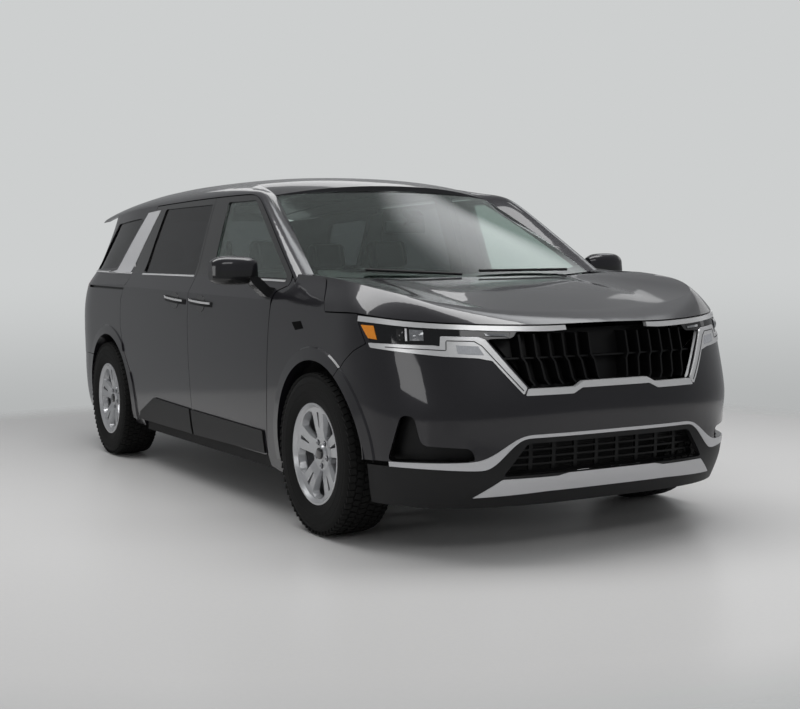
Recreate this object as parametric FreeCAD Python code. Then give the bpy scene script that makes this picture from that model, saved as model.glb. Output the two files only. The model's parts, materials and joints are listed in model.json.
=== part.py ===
# A seven or eight seat minivan with hinged front doors, fixed sliding doors, a hood and a liftgate.
# Frame: +X forward, +Y to the vehicle's left, +Z up, origin on the ground at the centre of the
# vehicle's bounding box. Millimetres. The left side is modelled and mirrored to the right.
import FreeCAD, Part
import math
import os

V = FreeCAD.Vector

# Overall sizes
OVERALL_LENGTH = 5155.0
SIDE_WIDTH = 1950.0          # across the doors, without the wheel arch lips
WHEELBASE = 3090.0
FRONT_OVERHANG = 935.0
TRACK = 1742.0

# Wheels
TYRE_RADIUS = 368.0
TYRE_WIDTH = 235.0
RIM_RADIUS = 216.0
RIM_LIP = 13.0
RIM_WIDTH = 208.0
SPOKE_PAIRS = 5
DISC_RADIUS = 152.0
DISC_THICKNESS = 26.0
STUB_RADIUS = 24.0

# Walls and gaps
SHUT_GAP = 6.0               # between a moving panel and its neighbour
PANEL_GAP = 4.0              # between two fixed panels
DOOR_THICKNESS = 105.0
FRAME_THICKNESS = 46.0       # window frames and pillars
SKIN = 26.0                  # bumper, fender and hood walls
GLASS = 5.0
GLASS_INSET = 8.0            # glass below the outer surface
FIT = 0.3                    # clearance where one piece seats on another
RUNNING = 0.05               # clearance of a shaft in its hole

# Wheel arches
ARCH_RADIUS = 423.0
ARCH_LIP_WIDTH = 64.0
ARCH_LIP_RISE = 11.0
LINER = 6.0

# Body heights
SILL_Z = 288.0
BELT_REFERENCE = 1155.0      # belt height that the section is drawn for
BELT_SLOPE = -0.0231
CREASE_DROP = 80.0           # shoulder crease below the belt

# Worked out from the sizes above
NOSE_X = OVERALL_LENGTH / 2
TAIL_X = -OVERALL_LENGTH / 2
FRONT_AXLE_X = NOSE_X - FRONT_OVERHANG
REAR_AXLE_X = FRONT_AXLE_X - WHEELBASE
AXLE_Z = TYRE_RADIUS
HALF = SIDE_WIDTH / 2
WHEEL_Y = TRACK / 2


# Curves and surfaces

def guide(*pairs):
    """A smooth curve through (a, b) pairs with no overshoot, as a function of a, straight beyond them."""
    a = [p[0] for p in pairs]
    b = [p[1] for p in pairs]
    count = len(a)
    rise = [(b[i + 1] - b[i]) / (a[i + 1] - a[i]) for i in range(count - 1)]
    slope = [rise[0]]
    for i in range(1, count - 1):
        if rise[i - 1] * rise[i] <= 0:
            slope.append(0.0)
        else:
            w1 = 2 * (a[i + 1] - a[i]) + (a[i] - a[i - 1])
            w2 = (a[i + 1] - a[i]) + 2 * (a[i] - a[i - 1])
            slope.append((w1 + w2) / (w1 / rise[i - 1] + w2 / rise[i]))
    slope.append(rise[-1])

    def value(x):
        if x <= a[0]:
            return b[0] + (x - a[0]) * slope[0]
        if x >= a[-1]:
            return b[-1] + (x - a[-1]) * slope[-1]
        i = 0
        while x > a[i + 1]:
            i += 1
        h = a[i + 1] - a[i]
        t = (x - a[i]) / h
        return ((1 + 2 * t) * (1 - t) ** 2 * b[i] + t * (1 - t) ** 2 * h * slope[i]
                + t * t * (3 - 2 * t) * b[i + 1] + t * t * (t - 1) * h * slope[i + 1])

    return value


def lerp(a, b, t):
    return a + (b - a) * t


def ease(t):
    t = min(1.0, max(0.0, t))
    return t * t * (3 - 2 * t)


def pole_places(count):
    """Knots, multiplicities and the shares along the curve where the poles of a clamped spline lie."""
    degree = min(3, count - 1)
    spans = count - degree
    values = [i / spans for i in range(spans + 1)]
    mults = [degree + 1] + [1] * (spans - 1) + [degree + 1]
    full = [v for v, m in zip(values, mults) for _ in range(m)]
    places = [sum(full[i + 1:i + 1 + degree]) / degree for i in range(count)]
    return values, mults, places


def spline_face(poles):
    """A smooth face on a net of poles, cubic along both directions, straight where there are two rows."""
    du = min(3, len(poles) - 1)
    dv = min(3, len(poles[0]) - 1)
    ku, mu, _ = pole_places(len(poles))
    kv, mv, _ = pole_places(len(poles[0]))
    surface = Part.BSplineSurface()
    surface.buildFromPolesMultsKnots(poles, mu, mv, ku, kv, False, False, du, dv)
    return surface.toShape()


def closed_solid(faces):
    shell = Part.makeShell(faces)
    shell.sewShape(0.01)
    if shell.ShapeType != "Shell":
        shell = shell.Shells[0]
    solid = Part.Solid(shell)
    if solid.Volume < 0:
        solid.reverse()
    return solid


def slab(outer, inner, nu, nv, breaks=(0.0, 1.0)):
    """A closed wall between two free-form surfaces, functions of (u, v) from 0 to 1.
    The surfaces may have a crease at each of the breaks in v, and take nv poles between two breaks."""
    faces = []
    us = pole_places(nu)[2]
    for v0, v1 in zip(breaks, breaks[1:]):
        vs = [lerp(v0, v1, t) for t in pole_places(nv)[2]]
        a = [[outer(u, v) for v in vs] for u in us]
        b = [[inner(u, v) for v in vs] for u in us]
        faces += [spline_face(a), spline_face(b)]
        faces += [spline_face([a[0], b[0]]), spline_face([a[-1], b[-1]])]
        if v0 == breaks[0]:
            faces.append(spline_face([[r[0] for r in a], [r[0] for r in b]]))
        if v1 == breaks[-1]:
            faces.append(spline_face([[r[-1] for r in a], [r[-1] for r in b]]))
    return closed_solid(faces)


def mirrored(shape):
    return shape.mirror(V(0, 0, 0), V(0, 1, 0))


def both(shape):
    return Part.makeCompound([shape, mirrored(shape)])


def box(x0, x1, y0, y1, z0, z1):
    return Part.makeBox(x1 - x0, y1 - y0, z1 - z0, V(x0, y0, z0))


def cylinder_y(radius, y0, y1, x, z):
    return Part.makeCylinder(radius, y1 - y0, V(x, y0, z), V(0, 1, 0))


def rounded_face(points, radius):
    """A flat face whose corners are rounded by quadratic curves that start radius before the corner."""
    count = len(points)
    starts = []
    ends = []
    for i in range(count):
        p = points[i]
        before = points[i - 1] - p
        after = points[(i + 1) % count] - p
        r = min(radius, 0.45 * before.Length, 0.45 * after.Length)
        starts.append(p + before * (r / before.Length))
        ends.append(p + after * (r / after.Length))
    edges = []
    for i in range(count):
        curve = Part.BezierCurve()
        curve.setPoles([starts[i], points[i], ends[i]])
        edges.append(curve.toShape())
        edges.append(Part.LineSegment(ends[i], starts[(i + 1) % count]).toShape())
    return Part.Face(Part.Wire(edges))


def side_prism(outline, radius=10.0, y0=400.0, y1=1150.0):
    """A prism across the left side, from an outline of (x, z) points."""
    return rounded_face([V(x, y0, z) for x, z in outline], radius).extrude(V(0, y1 - y0, 0))


def front_prism(outline, radius, x0, x1):
    """A prism along X, from an outline of (y, z) points."""
    return rounded_face([V(x0, y, z) for y, z in outline], radius).extrude(V(x1 - x0, 0, 0))


def plan_prism(outline, radius, z0, z1):
    return rounded_face([V(x, y, z0) for x, y in outline], radius).extrude(V(0, 0, z1 - z0))


def resample(points, places):
    """Points at the given shares of the length of a polyline, shares in rising order."""
    total = [0.0]
    for p, q in zip(points, points[1:]):
        total.append(total[-1] + (q - p).Length)
    found = []
    i = 0
    for share in places:
        want = share * total[-1]
        while i < len(points) - 2 and total[i + 1] < want:
            i += 1
        span = total[i + 1] - total[i]
        t = (want - total[i]) / span if span else 0.0
        found.append(points[i] + (points[i + 1] - points[i]) * t)
    return found


# Body form

def belt_z(x):
    return BELT_REFERENCE + BELT_SLOPE * x


# Inset from the widest line against height, drawn at the reference belt
inset = guide((150, 95), (230, 55), (300, 33), (420, 19), (600, 9), (740, 3), (900, 2), (1000, 7),
              (1075, 13), (1100, 26), (1150, 58), (1175, 70), (1300, 103), (1450, 146), (1575, 184),
              (1650, 212))

NOSE_START = 1890.0          # where the plan outline starts to turn in
nose = guide((150, NOSE_X - 115), (250, NOSE_X - 72), (334, NOSE_X - 37), (420, NOSE_X - 31),
             (500, NOSE_X - 28), (600, NOSE_X), (680, NOSE_X - 12), (760, NOSE_X - 30),
             (850, NOSE_X - 50), (930, NOSE_X - 68), (960, NOSE_X - 80), (1000, NOSE_X - 100),
             (1100, NOSE_X - 175))
NOSE_FULLNESS = 2.2
corner_fullness = guide((300, 3.4), (500, 3.3), (700, 2.95), (900, 2.55), (1000, 2.4))

TAIL_START = -1750.0
tail = guide((200, TAIL_X + 80), (300, TAIL_X + 12), (420, TAIL_X), (560, TAIL_X + 10),
             (640, TAIL_X + 48), (900, TAIL_X + 70), (1050, TAIL_X + 92), (1130, TAIL_X + 118),
             (1250, TAIL_X + 164), (1450, TAIL_X + 244), (1600, TAIL_X + 300), (1700, TAIL_X + 345))
tail_fullness = guide((200, 3.0), (600, 3.0), (950, 3.0), (1150, 2.3), (1500, 1.9), (1700, 1.8))
tail_corner = guide((200, 3.0), (600, 3.0), (950, 3.0), (1200, 2.5), (1500, 2.3), (1700, 2.2))
REAR_TAPER = 58.0            # how far the upper body draws in towards the tail


def section(x, z):
    """Half width of the body side without the turn-in of the plan outline."""
    taper = REAR_TAPER * ease((-1250.0 - x) / 1000.0) * ease((z - 1080.0) / 460.0)
    return HALF - inset(z * BELT_REFERENCE / belt_z(x)) - taper


def half_width(x, z):
    w = section(x, z)
    if x > NOSE_START:
        t = min(1.0, (x - NOSE_START) / (nose(z) - NOSE_START))
        w *= (1 - t ** NOSE_FULLNESS) ** (1 / corner_fullness(z))
    if x < TAIL_START:
        t = min(1.0, (x - TAIL_START) / (tail(z) - TAIL_START))
        w *= (1 - t ** tail_fullness(z)) ** (1 / tail_corner(z))
    return w


def nose_at(y, z):
    """x of the nose surface at y and z."""
    t = min(1.0, abs(y) / section(NOSE_START, z))
    return NOSE_START + (nose(z) - NOSE_START) * (1 - t ** corner_fullness(z)) ** (1 / NOSE_FULLNESS)


def tail_at(y, z):
    t = min(1.0, abs(y) / section(TAIL_START, z))
    return TAIL_START + (tail(z) - TAIL_START) * (1 - t ** tail_corner(z)) ** (1 / tail_fullness(z))


def side(x, z):
    return V(x, half_width(x, z), z)


def front(y, z):
    return V(nose_at(y, z), y, z)


def plan_outline(z, x_start, y_end, end_at, end_x, start_x, turn):
    """The left plan outline at height z, from x_start on the side, round the end, to y_end."""
    steps = 48
    x_turn = lerp(start_x, end_x(z), turn)
    points = [side(lerp(x_start, x_turn, i / steps), z) for i in range(steps)]
    y_turn = half_width(x_turn, z)
    points += [V(end_at(lerp(y_turn, y_end, i / steps), z), lerp(y_turn, y_end, i / steps), z)
               for i in range(steps + 1)]
    return points


def front_outline(z, x_start, y_end):
    if y_end < 0:
        left = plan_outline(z, x_start, 0.0, nose_at, nose, NOSE_START, 0.55)
        return left + [V(p.x, -p.y, p.z) for p in reversed(left[:-1])]
    return plan_outline(z, x_start, y_end, nose_at, nose, NOSE_START, 0.55)


def rear_outline(z, x_start, y_end):
    if y_end < 0:
        left = plan_outline(z, x_start, 0.0, tail_at, tail, TAIL_START, 0.6)
        return left + [V(p.x, -p.y, p.z) for p in reversed(left[:-1])]
    return plan_outline(z, x_start, y_end, tail_at, tail, TAIL_START, 0.6)


def wrap(outline, x_start, y_end, height, depths, nu, nv, breaks=(0.0, 1.0)):
    """A wall along a plan outline. height(u, v) gives z, and depths are the offsets of its two faces
    inward from the body surface."""
    places = pole_places(nu)[2]
    step = 0.004
    lines = {}

    def on_line(u, z):
        key = round(z, 3)
        if key not in lines:
            lines[key] = outline(z, x_start, y_end)
        return resample(lines[key], [u])[0]

    def face_at(depth):
        def point(u, v):
            z = height(u, v)
            p = on_line(u, z)
            q = on_line(max(0.0, u - step), z)
            r = on_line(min(1.0, u + step), z)
            along = r - q
            inward = V(along.y, -along.x, 0)
            inward.normalize()
            if inward.x * p.x + inward.y * p.y > 0:
                inward = inward * -1
            d = depth(p.x, z) if callable(depth) else depth
            return p + inward * d
        return point

    return slab(face_at(depths[0]), face_at(depths[1]), nu, nv, breaks)


# Upper body lines: the door frame's top line and the edge of the windshield and roof

PILLAR_RISE = 0.656          # slope of the front pillar
PILLAR_FOOT_X = 1322.0
HEADER_X = 560.0             # rear end of the sloping pillar
roof_line = guide((-2330, 1480), (-2200, 1530), (-1900, 1562), (-1500, 1583), (-900, 1599),
                  (-200, 1603), (500, 1598))


def frame_top(x):
    """Height of the door frames' top line."""
    pillar = 1185.0 + (1256.0 - x) * PILLAR_RISE
    gap = pillar - roof_line(x)
    return roof_line(x) + 0.5 * (gap - math.sqrt(gap * gap + 40.0 ** 2))


roof_center = guide((-2420, 1640), (-2200, 1672), (-1800, 1708), (-1200, 1733), (-600, 1740),
                    (-100, 1731), (300, 1704), (560, 1664), (700, 1632))
GLASS_LOW = V(1325.0, 807.0, 1162.0)
GLASS_HIGH = V(564.0, 652.0, 1584.0)
ditch_y = guide((-2330, 560), (-2000, 600), (-1000, 622), (0, 628), (350, 640), (564, 652))
DITCH_DROP = guide((-2330, 58), (-1000, 48), (0, 47), (300, 50), (564, 79))


def ditch(x):
    """Edge of the roof panel, and of the windshield in front of it."""
    if x > GLASS_HIGH.x:
        t = (x - GLASS_HIGH.x) / (GLASS_LOW.x - GLASS_HIGH.x)
        bow = 10.0 * math.sin(math.pi * t)
        return V(x, lerp(GLASS_HIGH.y, GLASS_LOW.y, t) + 0.4 * bow, lerp(GLASS_HIGH.z, GLASS_LOW.z, t) + bow)
    return V(x, ditch_y(x), roof_center(x) - DITCH_DROP(x))


def rail_outer(x, v):
    """The front pillar and cant rail: tangent to the body side at the frame line, down to the ditch."""
    z = frame_top(x)
    low = V(x, section(x, z), z)
    slope = (frame_top(x + 1) - frame_top(x - 1)) / 2
    up = V(-slope, 0, 1)
    up.normalize()
    reach = 42.0
    corner = V(x + up.x * reach, 0, z + up.z * reach)
    corner.y = section(corner.x, corner.z)
    high = ditch(x)
    return low * ((1 - v) ** 2) + corner * (2 * v * (1 - v)) + high * (v * v)


def rail_inner(x, v):
    p = rail_outer(x, v)
    return V(p.x, p.y - lerp(FRAME_THICKNESS, 0.0, v), p.z - lerp(-10.0, 34.0, v))


HEADER_BOW = 112.0           # the middle of the header ahead of its corners


def roof_outer(x, t):
    """Roof surface; t runs from -1 at the right edge to 1 at the left."""
    edge = ditch(x)
    ahead = HEADER_BOW * ease((x + 200) / (GLASS_HIGH.x + 200))
    crown = (roof_center(x + ahead) - edge.z) * (1 - abs(t) ** 2.3)
    return V(x + ahead * (1 - t * t), edge.y * t, edge.z + crown)


# Windshield: a shallow bow between the pillars
GLASS_LOW_MIDDLE = V(1450.0, 0.0, 1134.0)
GLASS_HIGH_MIDDLE = V(672.0, 0.0, 1614.0)


def windshield_at(u, t):
    """A point of the windshield; u runs from its foot to the header, t across from -1 to 1."""
    edge = ditch(lerp(GLASS_LOW.x, GLASS_HIGH.x + 6.0, u))
    middle = GLASS_LOW_MIDDLE + (GLASS_HIGH_MIDDLE - GLASS_LOW_MIDDLE) * u
    middle.z += 14.0 * math.sin(math.pi * u)
    bow = t * t
    return V(lerp(middle.x, edge.x, bow), (edge.y - 0.8) * t, lerp(middle.z, edge.z, bow))


# Openings of the body side, as (x, z) outlines on the left

FRONT_DOOR_REAR_X = 40.0

front_door_outline = [(FRONT_DOOR_REAR_X, SILL_Z), (1040, SILL_Z), (1068, 400), (1110, 650), (1156, 1000),
                      (1166, 1092), (1284, 1124), (1272, 1175), (700, 1550), (560, 1640),
                      (FRONT_DOOR_REAR_X, 1660)]
sliding_door_outline = [(FRONT_DOOR_REAR_X - PANEL_GAP, SILL_Z), (FRONT_DOOR_REAR_X - PANEL_GAP, 1660),
                        (-880, 1660), (-1010, 1400), (-1100, 1120), (-1172, 1020), (-1180, 850),
                        (-1130, 700), (-1010, 560), (-945, 420), (-925, SILL_Z)]
front_window = [(262, 1172), (1222, 1150), (1216, 1166), (612, 1556), (240, 1562)]
sliding_window = [(-872, 1186), (10, 1174), (16, 1562), (-748, 1568)]
quarter_window = [(-1952, 1212), (-1444, 1218), (-1120, 1520), (-1190, 1530), (-1680, 1511)]
fin_outline = [(-1585, 1190), (-1126, 1187), (-840, 1570), (-1064, 1562), (-1426, 1206)]


def wall_depth(x, z):
    """Door and side wall thickness: full below the belt, a thin frame above."""
    return lerp(DOOR_THICKNESS, FRAME_THICKNESS, ease((z - belt_z(x) + 70) / 80))


def side_wall(x0, x1, nu):
    """The body side from the sill to above the door frames, with its shoulder crease."""
    def height(x, v):
        crease = belt_z(x) - CREASE_DROP
        if v < 0.5:
            return lerp(SILL_Z, crease, v / 0.5)
        return lerp(crease, frame_top(x) + 30.0, (v - 0.5) / 0.5)

    def outer(u, v):
        x = lerp(x0, x1, u)
        return side(x, height(x, v))

    def inner(u, v):
        p = outer(u, v)
        return V(p.x, p.y - wall_depth(p.x, p.z), p.z)

    return slab(outer, inner, nu, 9, (0.0, 0.5, 1.0))


def pane(x0, x1, z0, z1, outline, radius, inset_depth=GLASS_INSET, thickness=GLASS, shrink=FIT):
    """A curved side pane below the body surface, filling a window outline."""
    def face(depth):
        def point(u, v):
            p = side(lerp(x0, x1, u), lerp(z0, z1, v))
            return V(p.x, p.y - depth, p.z)
        return point
    sheet = slab(face(inset_depth), face(inset_depth + thickness), 10, 10)
    return sheet.common(side_prism(shrunk(outline, shrink), radius))


def shrunk(outline, by):
    """A convex outline moved inward by a distance; negative grows it."""
    count = len(outline)
    area = sum(outline[i - 1][0] * outline[i][1] - outline[i][0] * outline[i - 1][1] for i in range(count))
    sign = 1 if area > 0 else -1
    lines = []
    for i in range(count):
        (ax, az), (bx, bz) = outline[i - 1], outline[i]
        length = math.hypot(bx - ax, bz - az)
        nx, nz = -(bz - az) / length * sign, (bx - ax) / length * sign
        lines.append((nx, nz, nx * ax + nz * az + by))
    moved = []
    for i in range(count):
        a, b = lines[i], lines[(i + 1) % count]
        det = a[0] * b[1] - a[1] * b[0]
        if abs(det) < 1e-6:
            moved.append((outline[i][0] + a[0] * by, outline[i][1] + a[1] * by))
        else:
            moved.append(((a[2] * b[1] - a[1] * b[2]) / det, (a[0] * b[2] - a[2] * b[0]) / det))
    return moved


def arch_lip(axle_x):
    """A raised lip round a wheel arch, with a crease along its outer edge."""
    def point(u, v, lift):
        angle = math.radians(lerp(-12.0, 190.0, u))
        r = ARCH_RADIUS + v * ARCH_LIP_WIDTH
        x = axle_x + r * math.cos(angle)
        z = AXLE_Z + r * math.sin(angle)
        rise = ARCH_LIP_RISE * (1 - 0.45 * v) if v <= 0.86 else lerp(ARCH_LIP_RISE * 0.613, -3.0, (v - 0.86) / 0.14)
        return V(x, section(x, z) * half_width(x, max(z, 260)) / section(x, max(z, 260)) + rise - lift, z)
    return slab(lambda u, v: point(u, v, 0.0), lambda u, v: point(u, v, 22.0), 28, 4, (0.0, 0.86, 1.0))


# Side panels

LINER_OUTER_Y = 905.0


def front_doors():
    wall = side_wall(-60.0, 1330.0, 18)
    door = wall.common(side_prism(front_door_outline, 22.0))
    door = door.cut(above_frame_top(-60.0, 1330.0, SHUT_GAP))
    door = door.cut(side_prism(front_window, 16.0))
    glass = pane(200, 1260, 1120, 1600, front_window, 16.0)
    return door, glass


def above_frame_top(x0, x1, drop):
    """Everything on the left above the door frames' top line, drop below it."""
    def face(y):
        return lambda u, v: V(lerp(x0, x1, u), y, lerp(frame_top(lerp(x0, x1, u)) - drop, 1900.0, v))
    return slab(face(300.0), face(1150.0), 30, 2)


def sliding_doors():
    wall = side_wall(-1260.0, 60.0, 16)
    door = wall.common(side_prism(sliding_door_outline, 14.0))
    door = door.cut(above_frame_top(-1260.0, 60.0, SHUT_GAP))
    return door.cut(side_prism(sliding_window, 18.0)).cut(side_prism(shrunk(fin_outline, -FIT), 8.0))


# Rear corner split lines
GATE_HALF = 700.0
BUMPER_TOP = 640.0
gate_outline = [(GATE_HALF, BUMPER_TOP + SHUT_GAP), (GATE_HALF + 40, 900), (GATE_HALF + 30, 1150),
                (640, 1460), (580, 1545), (450, 1585), (250, 1624), (-250, 1624), (-450, 1585), (-580, 1545),
                (-640, 1460), (-GATE_HALF - 30, 1150), (-GATE_HALF - 40, 900),
                (-GATE_HALF, BUMPER_TOP + SHUT_GAP)]


def rear_depth(x, z):
    return lerp(DOOR_THICKNESS, FRAME_THICKNESS, max(ease((z - belt_z(x) + 70) / 80), ease((-1800 - x) / 200)))


def rear_wing():
    """The left rear corner as one wall: quarter panel and bumper, with its wheel arch."""
    def height(u, v):
        if v < 0.5:
            return lerp(246.0, 1112.0, v / 0.5)
        return lerp(1112.0, 1600.0, (v - 0.5) / 0.5)
    wing = wrap(rear_outline, -860.0, 560.0, height, (0, rear_depth), 40, 10, (0.0, 0.5, 1.0))
    wing = wing.cut(cylinder_y(ARCH_RADIUS, 300, 1200, REAR_AXLE_X, AXLE_Z))
    return wing.fuse(arch_lip(REAR_AXLE_X))


LAMP_LOW = 985.0
LAMP_HIGH = 1150.0
tail_lamp_outline = [(-1905, LAMP_HIGH), (-2700, LAMP_HIGH), (-2700, LAMP_LOW), (-2330, LAMP_LOW), (-2210, 1068),
                     (-1950, 1092)]
RAIL_DEPTH = 18.0
rail_outline = [(-1885, 1108), (-1885, 1092), (-1080, 1076), (-1080, 1092)]    # slot of the sliding door's rail
rear_window = [(-598, 1196), (598, 1196), (520, 1556), (-520, 1556)]


def rear_panels():
    wing = rear_wing()
    bumper = wrap(rear_outline, -1765.0, -1.0, lambda u, v: lerp(246.0, BUMPER_TOP, v), (0, 40.0), 44, 8)
    lip = arch_lip(REAR_AXLE_X).common(box(-3000, -1765, -1, 1150, 246, BUMPER_TOP))
    bumper = bumper.cut(both(cylinder_y(ARCH_RADIUS, 300, 1200, REAR_AXLE_X, AXLE_Z))).fuse([lip, mirrored(lip)])
    quarter = wing.cut(box(-3000, -1760, -1, 1150, 0, BUMPER_TOP + PANEL_GAP))
    quarter = quarter.cut([side_prism(shrunk(sliding_door_outline, -PANEL_GAP), 14.0),
                           front_prism(shrunk(gate_outline, -SHUT_GAP), 20.0, TAIL_X - 50, -2000),
                           side_prism(quarter_window, 18.0), side_prism(shrunk(fin_outline, -FIT), 8.0),
                           box(-1200, -850, 700, SILL_OUTER + FIT, 200, REAR_FLOOR_Z + 12 + FIT)])
    quarter = quarter.cut(above_frame_top(-2700.0, -800.0, FIT))
    lamp_tool = side_prism(tail_lamp_outline, 12.0)
    lamp = quarter.common(side_prism(shrunk(tail_lamp_outline, FIT), 12.0))
    rail = pane(-1900, -1060, 1060, 1120, rail_outline, 5.0, -6.0, RAIL_DEPTH + 6.0, 0.0)
    quarter = quarter.cut([lamp_tool, rail])
    return quarter, bumper, lamp


def liftgate():
    """Liftgate shell with its spoiler; the lamp strip across it and the glass are pieces of their own."""
    wall = wrap(rear_outline, -1980.0, -1.0, lambda u, v: lerp(BUMPER_TOP, 1640.0, v), (0, FRAME_THICKNESS), 36, 16)
    gate = wall.common(front_prism(gate_outline, 20.0, TAIL_X - 50, -2000))

    def spoiler_top(u, v):
        x = lerp(-2420.0, ROOF_REAR_X - SHUT_GAP / 2, u)
        t = lerp(-1, 1, v)
        bow = 58.0 * abs(t) ** 2.3
        return V(x + 30.0 * (1 - u) * t * t, 556.0 * t, roof_center(x) - bow)

    def spoiler_low(u, v):
        p = spoiler_top(u, v)
        return V(p.x, p.y, p.z - lerp(14.0, 50.0, ease(u)))

    spoiler = slab(spoiler_top, spoiler_low, 8, 14)
    gate = gate.cut(front_prism(rear_window, 24.0, TAIL_X - 50, -2100))
    glass = wrap(rear_outline, -2000.0, -1.0, lambda u, v: lerp(1180.0, 1580.0, v), (8.0, 13.0), 30, 10)
    glass = glass.common(front_prism(shrunk(rear_window, FIT), 24.0, TAIL_X - 50, -2100))
    return gate.fuse(spoiler), glass


# Front end

NOSE_TOP = 1010.0
NOSE_LOW = 205.0

# Upper edge of the nose, along the bright strip: height against half width
strip_top = guide((0, 951), (216, 949), (282, 948), (450, 951), (693, 962), (850, 977), (951, 998), (990, 1006))
strip_low = guide((0, 930), (216, 930), (282, 926), (450, 930), (693, 942), (850, 955), (951, 974), (990, 982))

FENDER_TOP = 1004.0          # shut line between the fender and the hood's turned-down edge
HOOD_SHUT_X = 1750.0         # shut line across the fender, at the foot of the hood's side face
HOOD_CORNER = (1634.0, 1159.0)
FENDER_REAR_X = 1052.0
fender_outline = [(FENDER_REAR_X, 236), (FENDER_REAR_X, 900), (1180, 1094), (1290, 1128), (1294, 1173), HOOD_CORNER,
                  (HOOD_SHUT_X, FENDER_TOP), (2022, FENDER_TOP),
                  (2024, 985), (2084, 882), (2012, 850), (1937, 800), (1700, 600), (1700, 120)]


def nose_wall(proud, depth, z_low=NOSE_LOW, z_high=NOSE_TOP):
    """The whole nose as one wall from wheel arch to wheel arch; proud lifts its face off the body surface."""
    return wrap(front_outline, 1950.0, -1.0, lambda u, v: lerp(z_low, z_high, v), (-proud, depth), 48, 16)


def corner_prism(points, radius, shrink=0.0):
    """A prism through the left front corner of the body, along the level line at 45 degrees."""
    across = V(-math.sqrt(0.5), math.sqrt(0.5), 0)
    outward = V(math.sqrt(0.5), math.sqrt(0.5), 0)
    flat = [(p.dot(across), p.z) for p in points]
    if shrink:
        flat = shrunk(flat, shrink)
    face = rounded_face([across * a + V(0, 0, z) + outward * 3200.0 for a, z in flat], radius)
    return face.extrude(outward * -1700.0)


# Openings of the nose, left half
LAMP_GAP = 0.8
lamp_outline = [side(2036, 976), side(2112, 888), front(762, 878), front(742, 874), front(736, 915),
                front(600, 912), front(478, 906), front(470, 926), front(700, 943), front(850, 956)]
grille_outline = [(440, 932), (462, 902), (570, 900), (428, 702), (400, 682), (220, 682), (176, 704),
                  (-176, 704), (-220, 682), (-400, 682), (-428, 702),
                  (-570, 900), (-462, 902), (-440, 932)]
garnish_outline = [side(2100, 886), side(2112, 866), front(870, 852), front(737, 833), front(612, 824),
                   front(560, 812), front(452, 672), front(434, 700), front(576, 900), front(600, 910),
                   front(736, 915), front(742, 874), front(762, 878)]
intake_outline = [(533, 338), (430, 470), (-430, 470), (-533, 338)]
fog_outline = [side(2262, 592), side(2188, 398), front(640, 404), front(658, 458), front(820, 470),
               front(846, 590)]


def front_wing():
    """Fender and bumper skin of the left half as one wall, with its wheel arch."""
    wing = wrap(front_outline, 1030.0, 0.0, lambda u, v: lerp(NOSE_LOW, 1185.0, v), (0, SKIN), 46, 18)
    wing = wing.cut(cylinder_y(ARCH_RADIUS, 300, 1200, FRONT_AXLE_X, AXLE_Z))
    ring = cylinder_y(ARCH_RADIUS + LINER, LINER_OUTER_Y + FIT, HALF - 20, FRONT_AXLE_X, AXLE_Z)
    ring = ring.cut(cylinder_y(ARCH_RADIUS, LINER_OUTER_Y, HALF, FRONT_AXLE_X, AXLE_Z))
    ring = ring.common(box(1163, 2120, 900, 1000, 380, 900))
    return wing.fuse([arch_lip(FRONT_AXLE_X), ring])


# Lower edges of the bumper's silver band, height against half width
band_top = guide((0, 506), (430, 506), (468, 494), (600, 416), (640, 404), (902, 396), (1000, 392))
band_low = guide((0, 492), (440, 492), (476, 474), (585, 374), (604, 366), (891, 376), (1000, 372))
skid_outline = [(-638, 250), (-532, 326), (-282, 326), (-232, 336), (232, 336), (282, 326), (532, 326),
                (638, 250), (320, 262), (-320, 262)]
surround_low = [(-446, 668), (-225, 668), (-180, 690), (180, 690), (225, 668), (446, 668),
                (432, 696), (212, 696), (168, 718), (-168, 718), (-212, 696), (-432, 696)]


def nose_block(line, above, offset=0.0):
    """Everything on the nose above or below a line given as height against half width."""
    def face(z_end):
        def point(u, v):
            y = lerp(1100.0, -1100.0, u)
            z = line(min(abs(y), 1000.0)) + offset
            return V(lerp(1500.0, 2750.0, v), y, z + z_end)
        return point
    return slab(face(0.0), face(900.0 if above else -900.0), 64, 2)


def cowl_corner():
    """The top of the fender, from its upper edge in to the front pillar's foot and the hood's rear corner."""
    def outer(u, v):
        edge = side(lerp(PILLAR_FOOT_X + 20, HOOD_CORNER[0] - 6, u), lerp(1171.5, HOOD_CORNER[1] + 0.5, u))
        low = V(edge.x, edge.y - 8, edge.z - 1.5)
        high = V(lerp(PILLAR_FOOT_X + 20, COWL_X - 8, u), lerp(812.0, 822.0, u), lerp(1166.0, 1160.0, u))
        p = low + (high - low) * v
        return V(p.x, p.y, p.z + 4 * 5.0 * v * (1 - v))
    return slab(outer, lambda u, v: outer(u, v) - V(0, 0, 14), 8, 6)


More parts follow.
